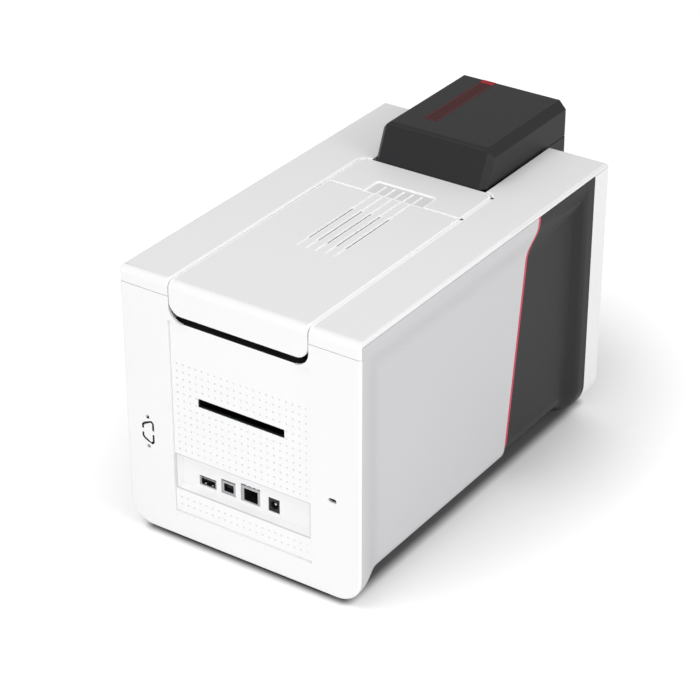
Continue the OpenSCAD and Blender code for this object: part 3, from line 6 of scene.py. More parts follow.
import bmesh
import bpy
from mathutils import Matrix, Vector


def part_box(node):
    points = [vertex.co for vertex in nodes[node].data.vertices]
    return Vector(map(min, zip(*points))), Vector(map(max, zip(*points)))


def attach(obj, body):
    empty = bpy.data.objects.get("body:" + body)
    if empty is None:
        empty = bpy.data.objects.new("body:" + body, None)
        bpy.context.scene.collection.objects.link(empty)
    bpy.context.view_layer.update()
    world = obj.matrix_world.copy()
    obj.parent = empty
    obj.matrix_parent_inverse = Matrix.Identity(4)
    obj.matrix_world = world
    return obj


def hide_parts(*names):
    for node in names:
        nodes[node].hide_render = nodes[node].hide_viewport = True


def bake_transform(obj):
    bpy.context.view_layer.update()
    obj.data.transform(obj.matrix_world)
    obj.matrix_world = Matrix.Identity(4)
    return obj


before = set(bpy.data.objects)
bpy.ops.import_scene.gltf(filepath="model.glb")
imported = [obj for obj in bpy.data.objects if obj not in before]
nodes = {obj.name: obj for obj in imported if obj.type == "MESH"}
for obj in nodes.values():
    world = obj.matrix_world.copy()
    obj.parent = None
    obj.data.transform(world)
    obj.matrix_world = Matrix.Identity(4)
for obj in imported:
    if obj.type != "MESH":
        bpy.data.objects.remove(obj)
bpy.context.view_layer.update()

# Studio: a pale sweep of floor that the machine stands on, a big soft lamp high on the left, a wide one beside the
# camera and a low one on the right. The floor glows a little for the camera alone, more so further out, so that it
# reads as white; the weaker glow near the machine is painted shade. In the narrow strip beside the machine, where
# little light gets in, the floor's colour is painted dark and its glow is off: a painted contact shadow.
class Wire:
    """One output of a shader node; sums on it add Math nodes."""

    def __init__(self, tree, out):
        self.tree, self.out = tree, out

    def maths(self, operation, *values):
        node = self.tree.nodes.new("ShaderNodeMath")
        node.operation = operation
        for socket, value in zip(node.inputs, values):
            if isinstance(value, Wire):
                self.tree.links.new(value.out, socket)
            else:
                socket.default_value = value
        return Wire(self.tree, node.outputs[0])

    def __add__(self, other):
        return self.maths("ADD", self, other)

    def __sub__(self, other):
        return self.maths("SUBTRACT", self, other)

    def __rsub__(self, other):
        return self.maths("SUBTRACT", other, self)

    def __mul__(self, other):
        return self.maths("MULTIPLY", self, other)

    def __truediv__(self, other):
        return self.maths("DIVIDE", self, other)

    def __rtruediv__(self, other):
        return self.maths("DIVIDE", other, self)

    def __gt__(self, other):
        return self.maths("GREATER_THAN", self, other)

    def __lt__(self, other):
        return self.maths("LESS_THAN", self, other)

    def __pow__(self, other):
        return self.maths("POWER", self, other)

    def __abs__(self):
        return self.maths("ABSOLUTE", self)

    __radd__, __rmul__ = __add__, __mul__

    def past(self, edge):
        """How far the value lies beyond an edge, 0 before it."""
        beyond = self - edge
        return beyond.maths("MAXIMUM", beyond, 0.0)

    def ripple(self, pitch):
        """A wave along the value, between -1 and 1."""
        return self.maths("SINE", self * (2 * math.pi / pitch))

    def off_grid(self, pitch):
        """Distance from the nearest multiple of pitch."""
        steps = self / pitch
        return abs(steps - steps.maths("ROUND", steps)) * pitch


def span(a, b):
    """The length that two offsets at right angles make."""
    return (a * a + b * b) ** 0.5


class Graph:
    """A node tree, with one method for any node but Math."""

    def __init__(self, tree):
        self.tree = tree

    def plug(self, node, sockets):
        for name, value in sockets.items():
            socket = node.inputs[int(name[1:]) if name[0] == "_" else name.replace("_", " ")]
            if isinstance(value, Wire):
                self.tree.links.new(value.out, socket)
            elif isinstance(value, tuple) and len(value) == 3 and socket.type == "RGBA":
                socket.default_value = (*value, 1)
            else:
                socket.default_value = value

    def node(self, kind, out=0, settings=(), **sockets):
        node = self.tree.nodes.new(kind)
        for name, value in dict(settings).items():
            setattr(node, name, value)
        self.plug(node, sockets)
        return Wire(self.tree, node.outputs[out])


class Finish(Graph):
    """A procedural material on Object coordinates, in metres."""

    def __init__(self, name, **sockets):
        self.material = bpy.data.materials.new(name)
        self.material.use_nodes = True
        super().__init__(self.material.node_tree)
        self.shader = self.tree.nodes["Principled BSDF"]
        self.place = self.node("ShaderNodeTexCoord", "Object")
        apart = self.tree.nodes.new("ShaderNodeSeparateXYZ")
        self.tree.links.new(self.place.out, apart.inputs[0])
        self.x, self.y, self.z = (Wire(self.tree, apart.outputs[i]) for i in range(3))
        self.plug(self.shader, sockets)

    def set(self, **sockets):
        self.plug(self.shader, sockets)
        return self

    def noise(self, scale, detail=2.0, stretch=None):
        where = self.place
        if stretch:
            where = self.node("ShaderNodeVectorMath", 0, {"operation": "MULTIPLY"}, _0=self.place, _1=stretch)
        return self.node("ShaderNodeTexNoise", 0, Vector=where, Scale=scale, Detail=detail)

    def mix(self, share, first, second):
        return self.node("ShaderNodeMix", 2, {"data_type": "RGBA"}, _0=share, _6=first, _7=second)

    def ease(self, value, low, high):
        """0 below low, 1 above high."""
        return self.node("ShaderNodeMapRange", 0, {"interpolation_type": "SMOOTHSTEP"}, Value=value,
                         From_Min=low, From_Max=high)

    def fade(self, value, low, high):
        """1 below low, 0 above high."""
        return 1 - self.ease(value, low, high)

    def bump(self, height, depth, strength=1.0):
        return self.node("ShaderNodeBump", 0, Height=height, Distance=depth, Strength=strength)

    def within(self, low, high):
        """1 inside a box, 0 outside it."""
        inside = None
        for axis, a, b in zip((self.x, self.y, self.z), low, high):
            part = (axis > a) * (axis < b)
            inside = part if inside is None else inside * part
        return inside

    def reach(self, x=None, y=None, z=None):
        """Distance from an axis, given by its two fixed places."""
        return span(*(axis - at for axis, at in ((self.x, x), (self.y, y), (self.z, z)) if at is not None))

    def on(self, *pieces):
        for piece in pieces:
            piece = nodes[piece] if isinstance(piece, str) else piece
            piece.data.materials.clear()
            piece.data.materials.append(self.material)
            for face in piece.data.polygons:
                face.material_index = 0
        return self


bpy.ops.object.select_all(action="DESELECT")
bpy.ops.mesh.primitive_plane_add(size=9, location=(0, 0, -0.0004))
floor = bpy.context.object
floor.name = "studio_floor"
floor_paint = Finish("studio_white")
# Painted shadow: within dark_strip of the machine's footprint the floor's colour is painted dark and its glow is off.
foot_x, foot_y, foot_middle, dark_strip = 0.0840, 0.1640, 0.0195, 0.012
beside = span(abs(floor_paint.x).past(foot_x), abs(floor_paint.y - foot_middle).past(foot_y))
clear_of_painted_shadow = floor_paint.ease(beside, 0.0, dark_strip)
glare = 0.04 + 0.26 * floor_paint.ease(span(1.35 * floor_paint.x, floor_paint.y), 0.12, 0.36)
eye = floor_paint.node("ShaderNodeLightPath", "Is Camera Ray")
matt = floor_paint.node("ShaderNodeBsdfDiffuse",
                        Color=floor_paint.mix(clear_of_painted_shadow, (0.18, 0.18, 0.185), (0.93, 0.93, 0.935)))
glow = floor_paint.node("ShaderNodeEmission", Strength=eye * clear_of_painted_shadow * glare)
both = floor_paint.node("ShaderNodeAddShader", _0=matt, _1=glow)
floor_paint.plug(floor_paint.tree.nodes["Material Output"], {"Surface": both})
floor_paint.tree.nodes.remove(floor_paint.shader)
floor_paint.on(floor)

room = bpy.data.worlds.new("studio_room")
bpy.context.scene.world = room
room.use_nodes = True
sky = Graph(room.node_tree)
sky.tree.nodes.clear()
eye = sky.node("ShaderNodeLightPath", "Is Camera Ray")
through = sky.node("ShaderNodeLightPath", "Is Transmission Ray")
air = sky.node("ShaderNodeBackground", Strength=0.69)
wall_white = sky.node("ShaderNodeBackground", Strength=1.0)
behind = sky.node("ShaderNodeMixShader", _0=eye.maths("MAXIMUM", eye, through), _1=air, _2=wall_white)
sky.plug(sky.tree.nodes.new("ShaderNodeOutputWorld"), {"Surface": behind})


def lamp(name, place, aim, size, power):
    """A round soft lamp, turned towards aim."""
    bpy.ops.object.light_add(type="AREA", location=place)
    light = bpy.context.object
    light.name = name
    light.data.shape = "DISK"
    light.data.size = size
    light.data.energy = power
    light.rotation_euler = (Vector(place) - Vector(aim)).to_track_quat("Z", "Y").to_euler()


machine = (0, 0, 0.1)
lamp("key_lamp", (0.5, 1.0, 2.4), machine, 1.5, 17)
lamp("fill_lamp", (-0.9, 2.6, 0.8), machine, 2.2, 29)
lamp("side_lamp", (-2.6, 0.2, 1.1), machine, 1.8, 23.5)

turn, rise = math.radians(214.12), math.radians(29.86)
bpy.ops.object.camera_add(location=(-0.8667, 1.3310, 1.0013), rotation=(math.pi / 2 - rise, 0, turn))
camera = bpy.context.object
camera.name = "studio_camera"
camera.data.sensor_width = 36
camera.data.lens = 122.8937
bpy.context.scene.camera = camera
bpy.context.scene.view_settings.view_transform = "Standard"


# Base tray and feet: a black moulded pan that closes the machine from below, on four moulded rubber pads pushed
# into it. The pads are matt, with a ring pressed into their soles.
def moulded(name, colour, texture=1.0, rough=0.42, shine=0.4):
    """Matt moulded plastic: colour, with faint flow marks and an eroded surface."""
    plastic = Finish(name, Specular_IOR_Level=shine)
    flow = plastic.noise(9.0, 1.0)
    grain = plastic.noise(2600.0, 2.0)
    plastic.tone = plastic.mix(flow, tuple(c * 0.97 for c in colour), colour)
    plastic.dull = rough + 0.08 * grain
    return plastic.set(Base_Color=plastic.tone, Roughness=plastic.dull,
                       Normal=plastic.bump(grain, 0.00002 * texture, 0.35))


def soften(node, body, finish, width=0.0004, segments=2, angle=32, smooth=20, share=None, large=None):
    """The moulding with the small radii that its tool gives to each edge.

    share gives an edge its part of width, and large picks edges that have a 4 mm radius.
    """
    source = nodes[node]
    piece = source.copy()
    piece.data = source.data.copy()
    piece.name = piece.data.name = node + "_moulding"
    bpy.context.collection.objects.link(piece)
    bpy.ops.object.select_all(action="DESELECT")
    piece.hide_render = piece.hide_viewport = False
    piece.select_set(True)
    bpy.context.view_layer.objects.active = piece
    bpy.ops.object.mode_set(mode="EDIT")
    bpy.ops.mesh.select_all(action="SELECT")
    bpy.ops.mesh.remove_doubles(threshold=1e-6)
    bpy.ops.mesh.dissolve_limited(angle_limit=math.radians(0.5))
    if share:
        bpy.ops.mesh.vert_connect_concave()
    if large:
        bpy.ops.mesh.select_mode(type="EDGE")
        bpy.ops.mesh.select_all(action="DESELECT")
        shape = bmesh.from_edit_mesh(piece.data)
        for line in shape.edges:
            line.select_set(large(*(end.co for end in line.verts)))
        bmesh.update_edit_mesh(piece.data)
        bpy.ops.mesh.bevel(offset=0.004, segments=6, affect="EDGES")
    bpy.ops.object.mode_set(mode="OBJECT")
    edge = piece.modifiers.new("edge_radius", "BEVEL")
    edge.width = width
    edge.segments = segments
    edge.limit_method = "ANGLE"
    if share:
        shape = bmesh.new()
        shape.from_mesh(piece.data)
        weight = shape.edges.layers.float.new("bevel_weight_edge")
        for line in shape.edges:
            if line.is_manifold and line.calc_face_angle() > math.radians(angle):
                line[weight] = share(*(end.co for end in line.verts))
        shape.to_mesh(piece.data)
        shape.free()
        edge.limit_method = "WEIGHT"
    edge.angle_limit = math.radians(angle)
    edge.use_clamp_overlap = False
    edge.miter_outer = "MITER_ARC"
    bpy.ops.object.modifier_apply(modifier="edge_radius")
    bpy.ops.object.shade_smooth_by_angle(angle=math.radians(smooth))
    even = piece.modifiers.new("even_normals", "WEIGHTED_NORMAL")
    even.keep_sharp = True
    even.weight = 100
    bpy.ops.object.modifier_apply(modifier="even_normals")
    piece.select_set(False)
    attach(piece, body)
    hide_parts(node)
    finish.on(piece)
    return piece


black_plastic = moulded("black_moulded_plastic", (0.017, 0.017, 0.0185), rough=0.4, shine=0.27)
soften("base_tray", "casing", black_plastic)

foot_rubber = Finish("foot_rubber", Base_Color=(0.03, 0.03, 0.031), Specular_IOR_Level=0.25)
ring_count = foot_rubber.noise(900.0, 3.0)
foot_rubber.set(Roughness=0.72 + 0.12 * ring_count, Normal=foot_rubber.bump(ring_count, 0.0001, 0.4))
foot_rubber.on("feet")

# White mouldings: rear and front bezel, top frame, hinge cover and lid. They are injection moulded in one matt
# plastic, with a fine spark-eroded texture and small radii on every edge. Where they meet on top, along the vent
# grooves and around the tray, their colour is painted paler and they are made glossier: a painted highlight of the
# light on those rounded edges. The tray's floor is painted darker, painted shade, and the vent slits, the slits of
# the knock-out on the rear bezel and two small dots in the seam beside the lid are painted near black, painted shade.
white_colour, vent_pitch, hinge_y = (0.84, 0.84, 0.845), 0.008, -0.0048
white_plastic = moulded("white_moulded_plastic", white_colour)


def from_rim(x, y, radius):
    """Distance in plan from an outline whose front corners are rounded about (x, y) and (-x, y)."""
    return abs(span(abs(white_plastic.x).past(x), (-1 * white_plastic.y).past(-y)) - radius)


on_top, before_hinge = white_plastic.z > 0.2146, white_plastic.y < hinge_y
seam_line = white_plastic.fade(from_rim(0.0515, -0.0448, 0.008), 0.0020, 0.0027) * (abs(white_plastic.x) > 0.0495)
hinge_line = white_plastic.fade(abs(white_plastic.y - hinge_y), 0.0012, 0.0018) * (abs(white_plastic.x) < 0.0595)
off_vent, five_vents = white_plastic.x.off_grid(vent_pitch), abs(white_plastic.x) < 0.0185
along_vent, along_groove = abs(white_plastic.y - 0.052), abs(white_plastic.y - 0.038)
# Painted shade: the inner walls of the vent slits are painted near black.
slit = (off_vent < 0.00056) * five_vents * (along_vent < 0.0285) * (white_plastic.z < 0.21566)
vent_line = (off_vent < 0.0017) * five_vents * (along_vent < 0.0293)
groove_line = (off_vent < 0.00095) * five_vents * (along_groove < 0.0583)
tray_line = 0.75 * white_plastic.fade(from_rim(0.023, -0.0212, 0.003), 0.0009, 0.0015) * before_hinge
# Painted shade: the tray's floor, a shallow recess in front of the hinge, is painted darker.
tray_painted_shade = (white_plastic.z < 0.2158) * (white_plastic.z > 0.2152) * before_hinge
# Painted highlight: the seam, hinge, vent, groove and tray lines are painted near white and made glossier.
painted_highlight = seam_line
for line in (hinge_line, vent_line, groove_line, tray_line):
    painted_highlight = painted_highlight.maths("MAXIMUM", painted_highlight, line)
painted_highlight = painted_highlight * on_top
# Painted shade: the slits of the knock-out on the rear bezel are painted near black.
knock_out = white_plastic.within((0.0765, 0.1870, 0.0735), (0.0900, 0.19032, 0.0965))
dark = slit + knock_out
# Painted shade: two small dots in the seam beside the lid are painted near black.
for dot_x, dot_y in ((-0.0600, -0.0046), (-0.0606, -0.0465)):
    dark = dark + (white_plastic.reach(x=dot_x, y=dot_y) < 0.0014) * on_top
tone = white_plastic.mix(tray_painted_shade * 0.5, white_plastic.tone, (0.62, 0.62, 0.63))
tone = white_plastic.mix(painted_highlight, tone, (0.99, 0.99, 0.99))
white_plastic.set(Base_Color=white_plastic.mix(dark, tone, (0.045, 0.045, 0.05)),
                  Roughness=white_plastic.dull - 0.14 * painted_highlight)


def fine_at_vents(a, b):
    """An edge's share of the radius: small near the vents, where the bars are narrow."""
    middle = (a + b) / 2
    return 0.15 if abs(middle.x) < 0.027 and -0.025 < middle.y < 0.098 else 1.0


soften("rear_bezel", "casing", white_plastic, width=0.0003)
soften("front_bezel", "casing", white_plastic)
soften("top_frame", "casing", white_plastic, width=0.0006, segments=3)
soften("hinge_cover", "casing", white_plastic, width=0.0006, segments=3, share=fine_at_vents)
soften("lid", "lid", white_plastic, width=0.0005, segments=3, share=fine_at_vents)


# Seam lip: a thin lip of the top frame that closes the seam beside the lid and the hinge cover, with a cross strip
# that closes the seam between those two, in an outer and a lower inner part.
def block(name, low, high):
    """A plain block between two corners, in metres, ready to be shaped."""
    bpy.ops.object.select_all(action="DESELECT")
    low, high = Vector(low), Vector(high)
    bpy.ops.mesh.primitive_cube_add(size=1, location=(low + high) / 2)
    piece = bpy.context.object
    piece.name = piece.data.name = name
    piece.scale = high - low
    bpy.ops.object.transform_apply(location=True, rotation=False, scale=True)
    return piece


def join(first, *others):
    """One piece made of several."""
    bpy.ops.object.select_all(action="DESELECT")
    for piece in (first, *others):
        piece.select_set(True)
    bpy.context.view_layer.objects.active = first
    bpy.ops.object.join()
    return first


def mirror(piece):
    """Adds the piece's mirror image across the middle plane."""
    other_side = piece.modifiers.new("other_side", "MIRROR")
    other_side.use_mirror_merge = False
    bpy.ops.object.modifier_apply(modifier="other_side")


strip_low_y, strip_high_y, strip_split = -0.0052, -0.0047, 0.0261
lip = join(block("seam_lip", (0.05925, -0.0448, 0.21352), (0.05985, 0.1840, 0.21648)),
           block("outer_strip", (strip_split, strip_low_y, 0.2144), (0.0594, strip_high_y, 0.2164)),
           block("inner_strip", (0, strip_low_y, 0.21445), (strip_split, strip_high_y, 0.21565)))
mirror(lip)
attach(lip, "casing")
white_plastic.on(lip)

# Panel gasket: a thin white strip that closes the gap between the port panel and the rear bezel on three sides. It
# is pressed in from the rear and set back a little from the panel's face.
panel_low, panel_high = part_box("port_panel")
gap_x, gap_z, top_z = panel_high[0] - 0.00375, panel_low[2] + 0.00375, panel_high[2] - 0.0004
bars = [block("panel_gasket", (x - 0.0002, 0.1865, gap_z), (x + 0.0002, 0.1883, top_z)) for x in (-gap_x, gap_x)]
bars.append(block("lower_bar", (0.0003 - gap_x, 0.1865, gap_z - 0.0002), (gap_x - 0.0003, 0.1883, gap_z + 0.0002)))
gasket = join(*bars)
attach(gasket, "casing")
white_plastic.on(gasket)

# Port panel: the same white plastic, with a grid of small round dimples above and below the port pocket, whose colour
# is painted darker, painted shade in them. The card slot's inside and the panel's top behind the rear bezel's lip are
# painted near black, painted shade, and the pocket's walls next to the face are painted darker, painted shade.
panel_plastic = moulded("dimpled_white_plastic", white_colour)
pitch_x, pitch_z, first_row = 0.0056, 0.00595, 0.0790
off_dimple = span(panel_plastic.x.off_grid(pitch_x), (panel_plastic.z - first_row).off_grid(pitch_z))
above_ports = panel_plastic.within((-0.0563, 0.1879, 0.0765), (0.0588, 0.1887, 0.1525))
below_ports = panel_plastic.within((-0.0563, 0.1879, 0.0290), (0.0588, 0.1887, 0.0425))
# Painted shade: the dimples are painted darker as well as bumped.
dimple = panel_plastic.fade(off_dimple, 0.00045, 0.0008) * (above_ports + below_ports)
# Painted shade: the card slot's inside and the panel above 184 mm, in the gap under the lip, are painted near black.
card_slot = panel_plastic.within((-0.0379, 0.1700, 0.1198), (0.0379, 0.18842, 0.1280))
blackened = card_slot + (panel_plastic.z > 0.18395)
# Painted shade: the pocket's walls next to the face are painted darker.
pocket_rim = panel_plastic.within((-0.0590, 0.1878, 0.0439), (0.0605, 0.1887, 0.0743))
face_tone = panel_plastic.mix(dimple * 0.75, white_colour, (0.66, 0.66, 0.67))
face_tone = panel_plastic.mix(pocket_rim, face_tone, (0.60, 0.60, 0.61))
panel_plastic.set(
    Base_Color=panel_plastic.mix(blackened, face_tone, (0.01, 0.01, 0.011)),
    Roughness=0.45 + 0.4 * blackened,
    Normal=panel_plastic.bump(1 - dimple, 0.0004),
)
panel_plastic.on("port_panel")

# Side panels, covers and trims: thin dished shells clipped to the chassis, light grey behind and near black in
# front, with a satin red strip let in along the slanted joint.
grey_plastic = moulded("light_grey_plastic", (0.58, 0.58, 0.59), shine=0.3)
red_strip = moulded("red_strip_plastic", (0.62, 0.02, 0.07), texture=0.4, rough=0.3)
for side in ("left", "right"):
    soften("side_panel_" + side, "casing", grey_plastic, width=0.0003)
    soften("side_cover_" + side, "casing", black_plastic, width=0.0003)
red_strip.on("side_trims")

# Chassis: base and two side plates, bent and punched from zinc-plated sheet, which also makes the print head's
# bracket, the diverter flap and the lock plate. Bushes and motor pinions are turned brass, the lid's pins steel.
def plated(name, colour, rough=0.34, along=(1, 0.03, 1)):
    """Zinc-plated steel: faint spangle, and drawing marks along the sheet."""
    sheet = Finish(name, Metallic=1.0)
    spangle = sheet.noise(70.0, 2.0)
    drawn = sheet.noise(900.0, 2.0, stretch=along)
    dull = tuple(c * 0.84 for c in colour)
    return sheet.set(Base_Color=sheet.mix(spangle, dull, colour), Roughness=rough + 0.14 * drawn,
                     Normal=sheet.bump(drawn, 0.00001, 0.4))


zinc_sheet = plated("zinc_plated_sheet", (0.62, 0.63, 0.66))
zinc_sheet.on("chassis_base", "chassis_plates", "lock_plate", "head_bracket", "diverter_flap")
turned_steel = plated("turned_steel", (0.66, 0.66, 0.68), rough=0.24, along=(1, 0.02, 0.02))
turned_steel.on("lid_hinge_pins", "lid_magnets")
turned_brass = plated("turned_brass", (0.72, 0.55, 0.27), rough=0.26, along=(1, 0.05, 0.05))
turned_brass.on("bushes", "ribbon_pinion", "motor_pinion")

# Base screws: six pan-head screws with a cross recess, driven up through the tray into the chassis. The recess is not
# modelled: a dark, non-metallic cross painted on each head is painted shade.
screw_steel = plated("screw_steel", (0.58, 0.58, 0.6))
screw_x, screw_rows = 0.034, (-0.1175, 0.02125, 0.160)
away_x = abs(abs(screw_steel.x) - screw_x)
recess = None
for row in screw_rows:
    away_y = abs(screw_steel.y - row)
    # Painted shade: a dark cross on each head stands for its recess.
    cross = (away_x < 0.0004) * (away_y < 0.0017) + (away_y < 0.0004) * (away_x < 0.0017)
    recess = cross if recess is None else recess + cross
recess = recess * (screw_steel.z < 0.0049)
screw_steel.set(Base_Color=screw_steel.mix(recess, (0.58, 0.58, 0.6), (0.03, 0.03, 0.03)), Metallic=1 - recess)
screw_steel.on("screws")

# Inner mouldings: card guides, the lid's frame with its magnet posts, the fan and the weight on the card stack.
# They are plain black plastic, smoother than the casing.
inner_plastic = moulded("inner_black_plastic", (0.045, 0.045, 0.048), texture=0.5, rough=0.34)
inner_plastic.on("card_guides", "lid_frame", "catch_posts", "fan_frame", "fan_rotor")
soften("card_weight", "card_weight", inner_plastic, width=0.0006)
grey_control = moulded("grey_control_plastic", (0.35, 0.36, 0.38), texture=0.5)
grey_control.on("thickness_gauge")


# Rollers: ground steel shafts with moulded rubber sleeves. Those that are driven also carry black acetal belt
# wheels, and the entry roller a white acetal gear.
def roller(node, y, z, shaft, sleeve=(0.055, 0.055, 0.057)):
    """A roller about its axis at y and z: bare shaft, rubber sleeve, and wheels at its -X end."""
    sleeve_end, wheel_start, gear_start = 0.0285, -0.0485, -0.0609
    turned = Finish(node + "_finish")
    out = turned.reach(y=y, z=z) > shaft + 0.0001
    soft = out * (abs(turned.x) < sleeve_end)
    wheel = out * (turned.x < wheel_start)
    gear = wheel * (turned.x < gear_start)
    grain = turned.noise(1500.0, 2.0)
    lathe = turned.noise(4000.0, 1.0, stretch=(1, 0.02, 0.02))
    wheels = turned.mix(gear, (0.04, 0.04, 0.042), (0.78, 0.77, 0.71))
    metal = turned.mix(wheel, (0.66, 0.66, 0.68), wheels)
    turned.set(Base_Color=turned.mix(soft, metal, sleeve), Metallic=1 - soft - wheel,
               Roughness=0.22 + 0.42 * soft + 0.2 * wheel + 0.08 * grain,
               Normal=turned.bump(grain * soft + lathe * (1 - soft), 0.00002, 0.5))
    turned.on(node)


driven_z, driven_shaft, idle_shaft = 0.11702, 0.003, 0.002
roller("platen_roller", 0.067, driven_z, driven_shaft)
roller("entry_roller", 0.015, driven_z, driven_shaft)
roller("exit_roller", 0.125, driven_z, driven_shaft)
roller("feed_roller", -0.100, driven_z, driven_shaft)
roller("entry_pinch", 0.015, 0.12978, idle_shaft)
roller("exit_pinch", 0.125, 0.12978, idle_shaft)
roller("cleaning_roller", -0.025, 0.13178, idle_shaft, sleeve=(0.5, 0.03, 0.04))

# Drive belts: toothed neoprene loops, with ribs across them.
belt_rubber = Finish("belt_rubber", Base_Color=(0.03, 0.03, 0.031))
ribs = belt_rubber.y.ripple(0.0025)
belt_rubber.set(Normal=belt_rubber.bump(ribs, 0.0002, 0.7), Roughness=0.6 + 0.1 * belt_rubber.noise(1800.0))
belt_rubber.on("drive_belts")

# Motors: a stepper with cast end caps and a stack of black laminations between them, and a small drawn steel can.
stepper = Finish("stepper_case")
cap = (stepper.x < -0.0390) + (stepper.x > -0.0212)
layers = stepper.x.ripple(0.0005)
stepper.set(Base_Color=stepper.mix(cap, (0.03, 0.03, 0.032), (0.5, 0.5, 0.52)), Metallic=0.2 + 0.7 * cap,
            Roughness=0.4 + 0.08 * stepper.noise(500.0), Normal=stepper.bump(layers * (1 - cap), 0.0001, 0.6))
stepper.on("transport_motor")
plated("drawn_steel_can", (0.55, 0.55, 0.58), rough=0.28, along=(0.03, 1, 1)).on("ribbon_motor")

# Take-up gear: white acetal, slightly glossy on its teeth.
moulded("white_acetal", (0.78, 0.77, 0.71), texture=0.3, rough=0.3).on("takeup_gear")


# Ribbon: a glossy dyed film, wound on two black cores. The wound rolls show their layers as fine rings at the ends.
def wound(node, y):
    """A ribbon spool on its axis at y."""
    axis_z, core = 0.160, 0.006
    spool = Finish(node + "_finish")
    out = spool.reach(y=y, z=axis_z)
    on_film = out > core + 0.0001
    rings = out.ripple(0.0004)
    tint = spool.mix(spool.ease(out, core, core + 0.009), (0.02, 0.05, 0.10), (0.10, 0.015, 0.05))
    spool.set(Base_Color=spool.mix(on_film, (0.045, 0.045, 0.048), tint), Roughness=0.42 - 0.26 * on_film,
              Normal=spool.bump(rings * on_film, 0.00004, 0.6))
    spool.on(node)


wound("supply_spool", 0.140)
wound("takeup_spool", 0.025)
film = Finish("dyed_film", Roughness=0.12)
dye = film.mix(film.y > 0.057, (0.02, 0.06, 0.11), (0.12, 0.015, 0.06))
dye = film.mix(film.y > 0.090, dye, (0.16, 0.12, 0.02))
film.set(Base_Color=dye, Normal=film.bump(film.noise(60.0), 0.0002, 0.3))
film.on("ribbon_film")

# Print head: an extruded aluminium heat sink over a dark glazed ceramic strip with its line of heating dots.
head_metal = Finish("head_aluminium")
strip = head_metal.z < 0.12699
dots = strip * (abs(head_metal.y - 0.0665) < 0.0003)
extruded = head_metal.noise(1200.0, 2.0, stretch=(0.03, 1, 1))
glazed = head_metal.mix(strip, (0.68, 0.69, 0.71), (0.05, 0.04, 0.035))
head_metal.set(Base_Color=head_metal.mix(dots, glazed, (0.5, 0.36, 0.14)), Metallic=1 - strip,
               Roughness=0.34 - 0.2 * strip + 0.1 * extruded, Normal=head_metal.bump(extruded, 0.00001, 0.4))
head_metal.on("print_head")

# Head springs: two coil springs of steel wire between the bracket under the lid and the print head.
spring_low, spring_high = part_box("head_springs")
wire_r, coil_r, outer_r, turns = 0.00038, 0.0028, 0.0032, 6
spring_z = spring_low[2] + wire_r
spring_l = spring_high[2] - spring_low[2] - 2 * wire_r
spring_y = (spring_low[1] + spring_high[1]) / 2
bpy.ops.object.select_all(action="DESELECT")
bpy.ops.mesh.primitive_circle_add(vertices=10, radius=wire_r, location=(coil_r, 0, 0),
                                  rotation=(math.pi / 2, 0, 0))
spring = bpy.context.object
spring.name = spring.data.name = "head_spring_coils"
bpy.ops.object.transform_apply(location=True, rotation=True, scale=True)
wind = spring.modifiers.new("wind", "SCREW")
wind.steps = wind.render_steps = 20
wind.iterations = turns
wind.screw_offset = spring_l / turns
wind.use_smooth_shade = True
bpy.ops.object.modifier_apply(modifier="wind")
bpy.ops.object.mode_set(mode="EDIT")
bpy.ops.mesh.select_all(action="SELECT")
bpy.ops.mesh.fill_holes(sides=0)
bpy.ops.mesh.select_all(action="SELECT")
bpy.ops.mesh.normals_make_consistent(inside=False)
bpy.ops.object.mode_set(mode="OBJECT")
spring.location = (spring_high[0] - outer_r, spring_y, spring_z)
bpy.ops.object.transform_apply(location=True, rotation=False, scale=False)
mirror(spring)
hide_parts("head_springs")
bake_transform(spring)
turned_steel.on(spring)

# Main board: green masked laminate with copper tracks under the mask, four electrolytic capacitors, a processor
# and two driver chips, each with tinned leads soldered down.
board = Finish("board_and_parts")
track_pitch = 0.0013
lane_x = board.x.maths("FRACT", board.x / track_pitch)
lane_y = board.x.maths("FRACT", board.y / track_pitch)
patch = board.noise(45.0, 0.0) > 0.5
tracks = (lane_x < 0.3) * patch + (lane_y < 0.3) * (1 - patch)
processor = board.within((-0.0121, 0.1102, 0.05002), (0.0121, 0.1344, 0.053))
chips = processor
for driver_x in (-0.030, 0.030):
    chips = chips + board.within((driver_x - 0.0061, 0.1142, 0.05002), (driver_x + 0.0061, 0.1284, 0.053))
cans = board.within((-0.0390, 0.0930, 0.05002), (0.0070, 0.1035, 0.0700))
tops = cans * (board.z > 0.06195)
green = board.mix(tracks * (board.z > 0.0499), (0.015, 0.11, 0.055), (0.03, 0.19, 0.09))
colour = board.mix(chips, green, (0.02, 0.02, 0.021))
colour = board.mix(cans, colour, (0.02, 0.03, 0.07))
board.set(Base_Color=board.mix(tops, colour, (0.6, 0.6, 0.62)), Metallic=0.9 * tops,
          Roughness=0.3 + 0.25 * chips, Normal=board.bump(tracks * (1 - chips), 0.00004, 0.5))
board.on("main_board")


def choose(piece, test):
    """Edit mode, with only those faces selected that pass the test on middle and normal."""
    bpy.context.view_layer.objects.active = piece
    piece.select_set(True)
    if piece.mode != "EDIT":
        bpy.ops.object.mode_set(mode="EDIT")
    bpy.ops.mesh.select_mode(type="FACE")
    bpy.ops.mesh.select_all(action="DESELECT")
    shape = bmesh.from_edit_mesh(piece.data)
    for face in shape.faces:
        face.select = bool(test(face.calc_center_median(), face.normal))
    shape.select_flush_mode()
    bmesh.update_edit_mesh(piece.data)


def push(by):
    """Extrudes what is selected."""
    bpy.ops.mesh.extrude_region_move(TRANSFORM_OT_translate={"value": by})


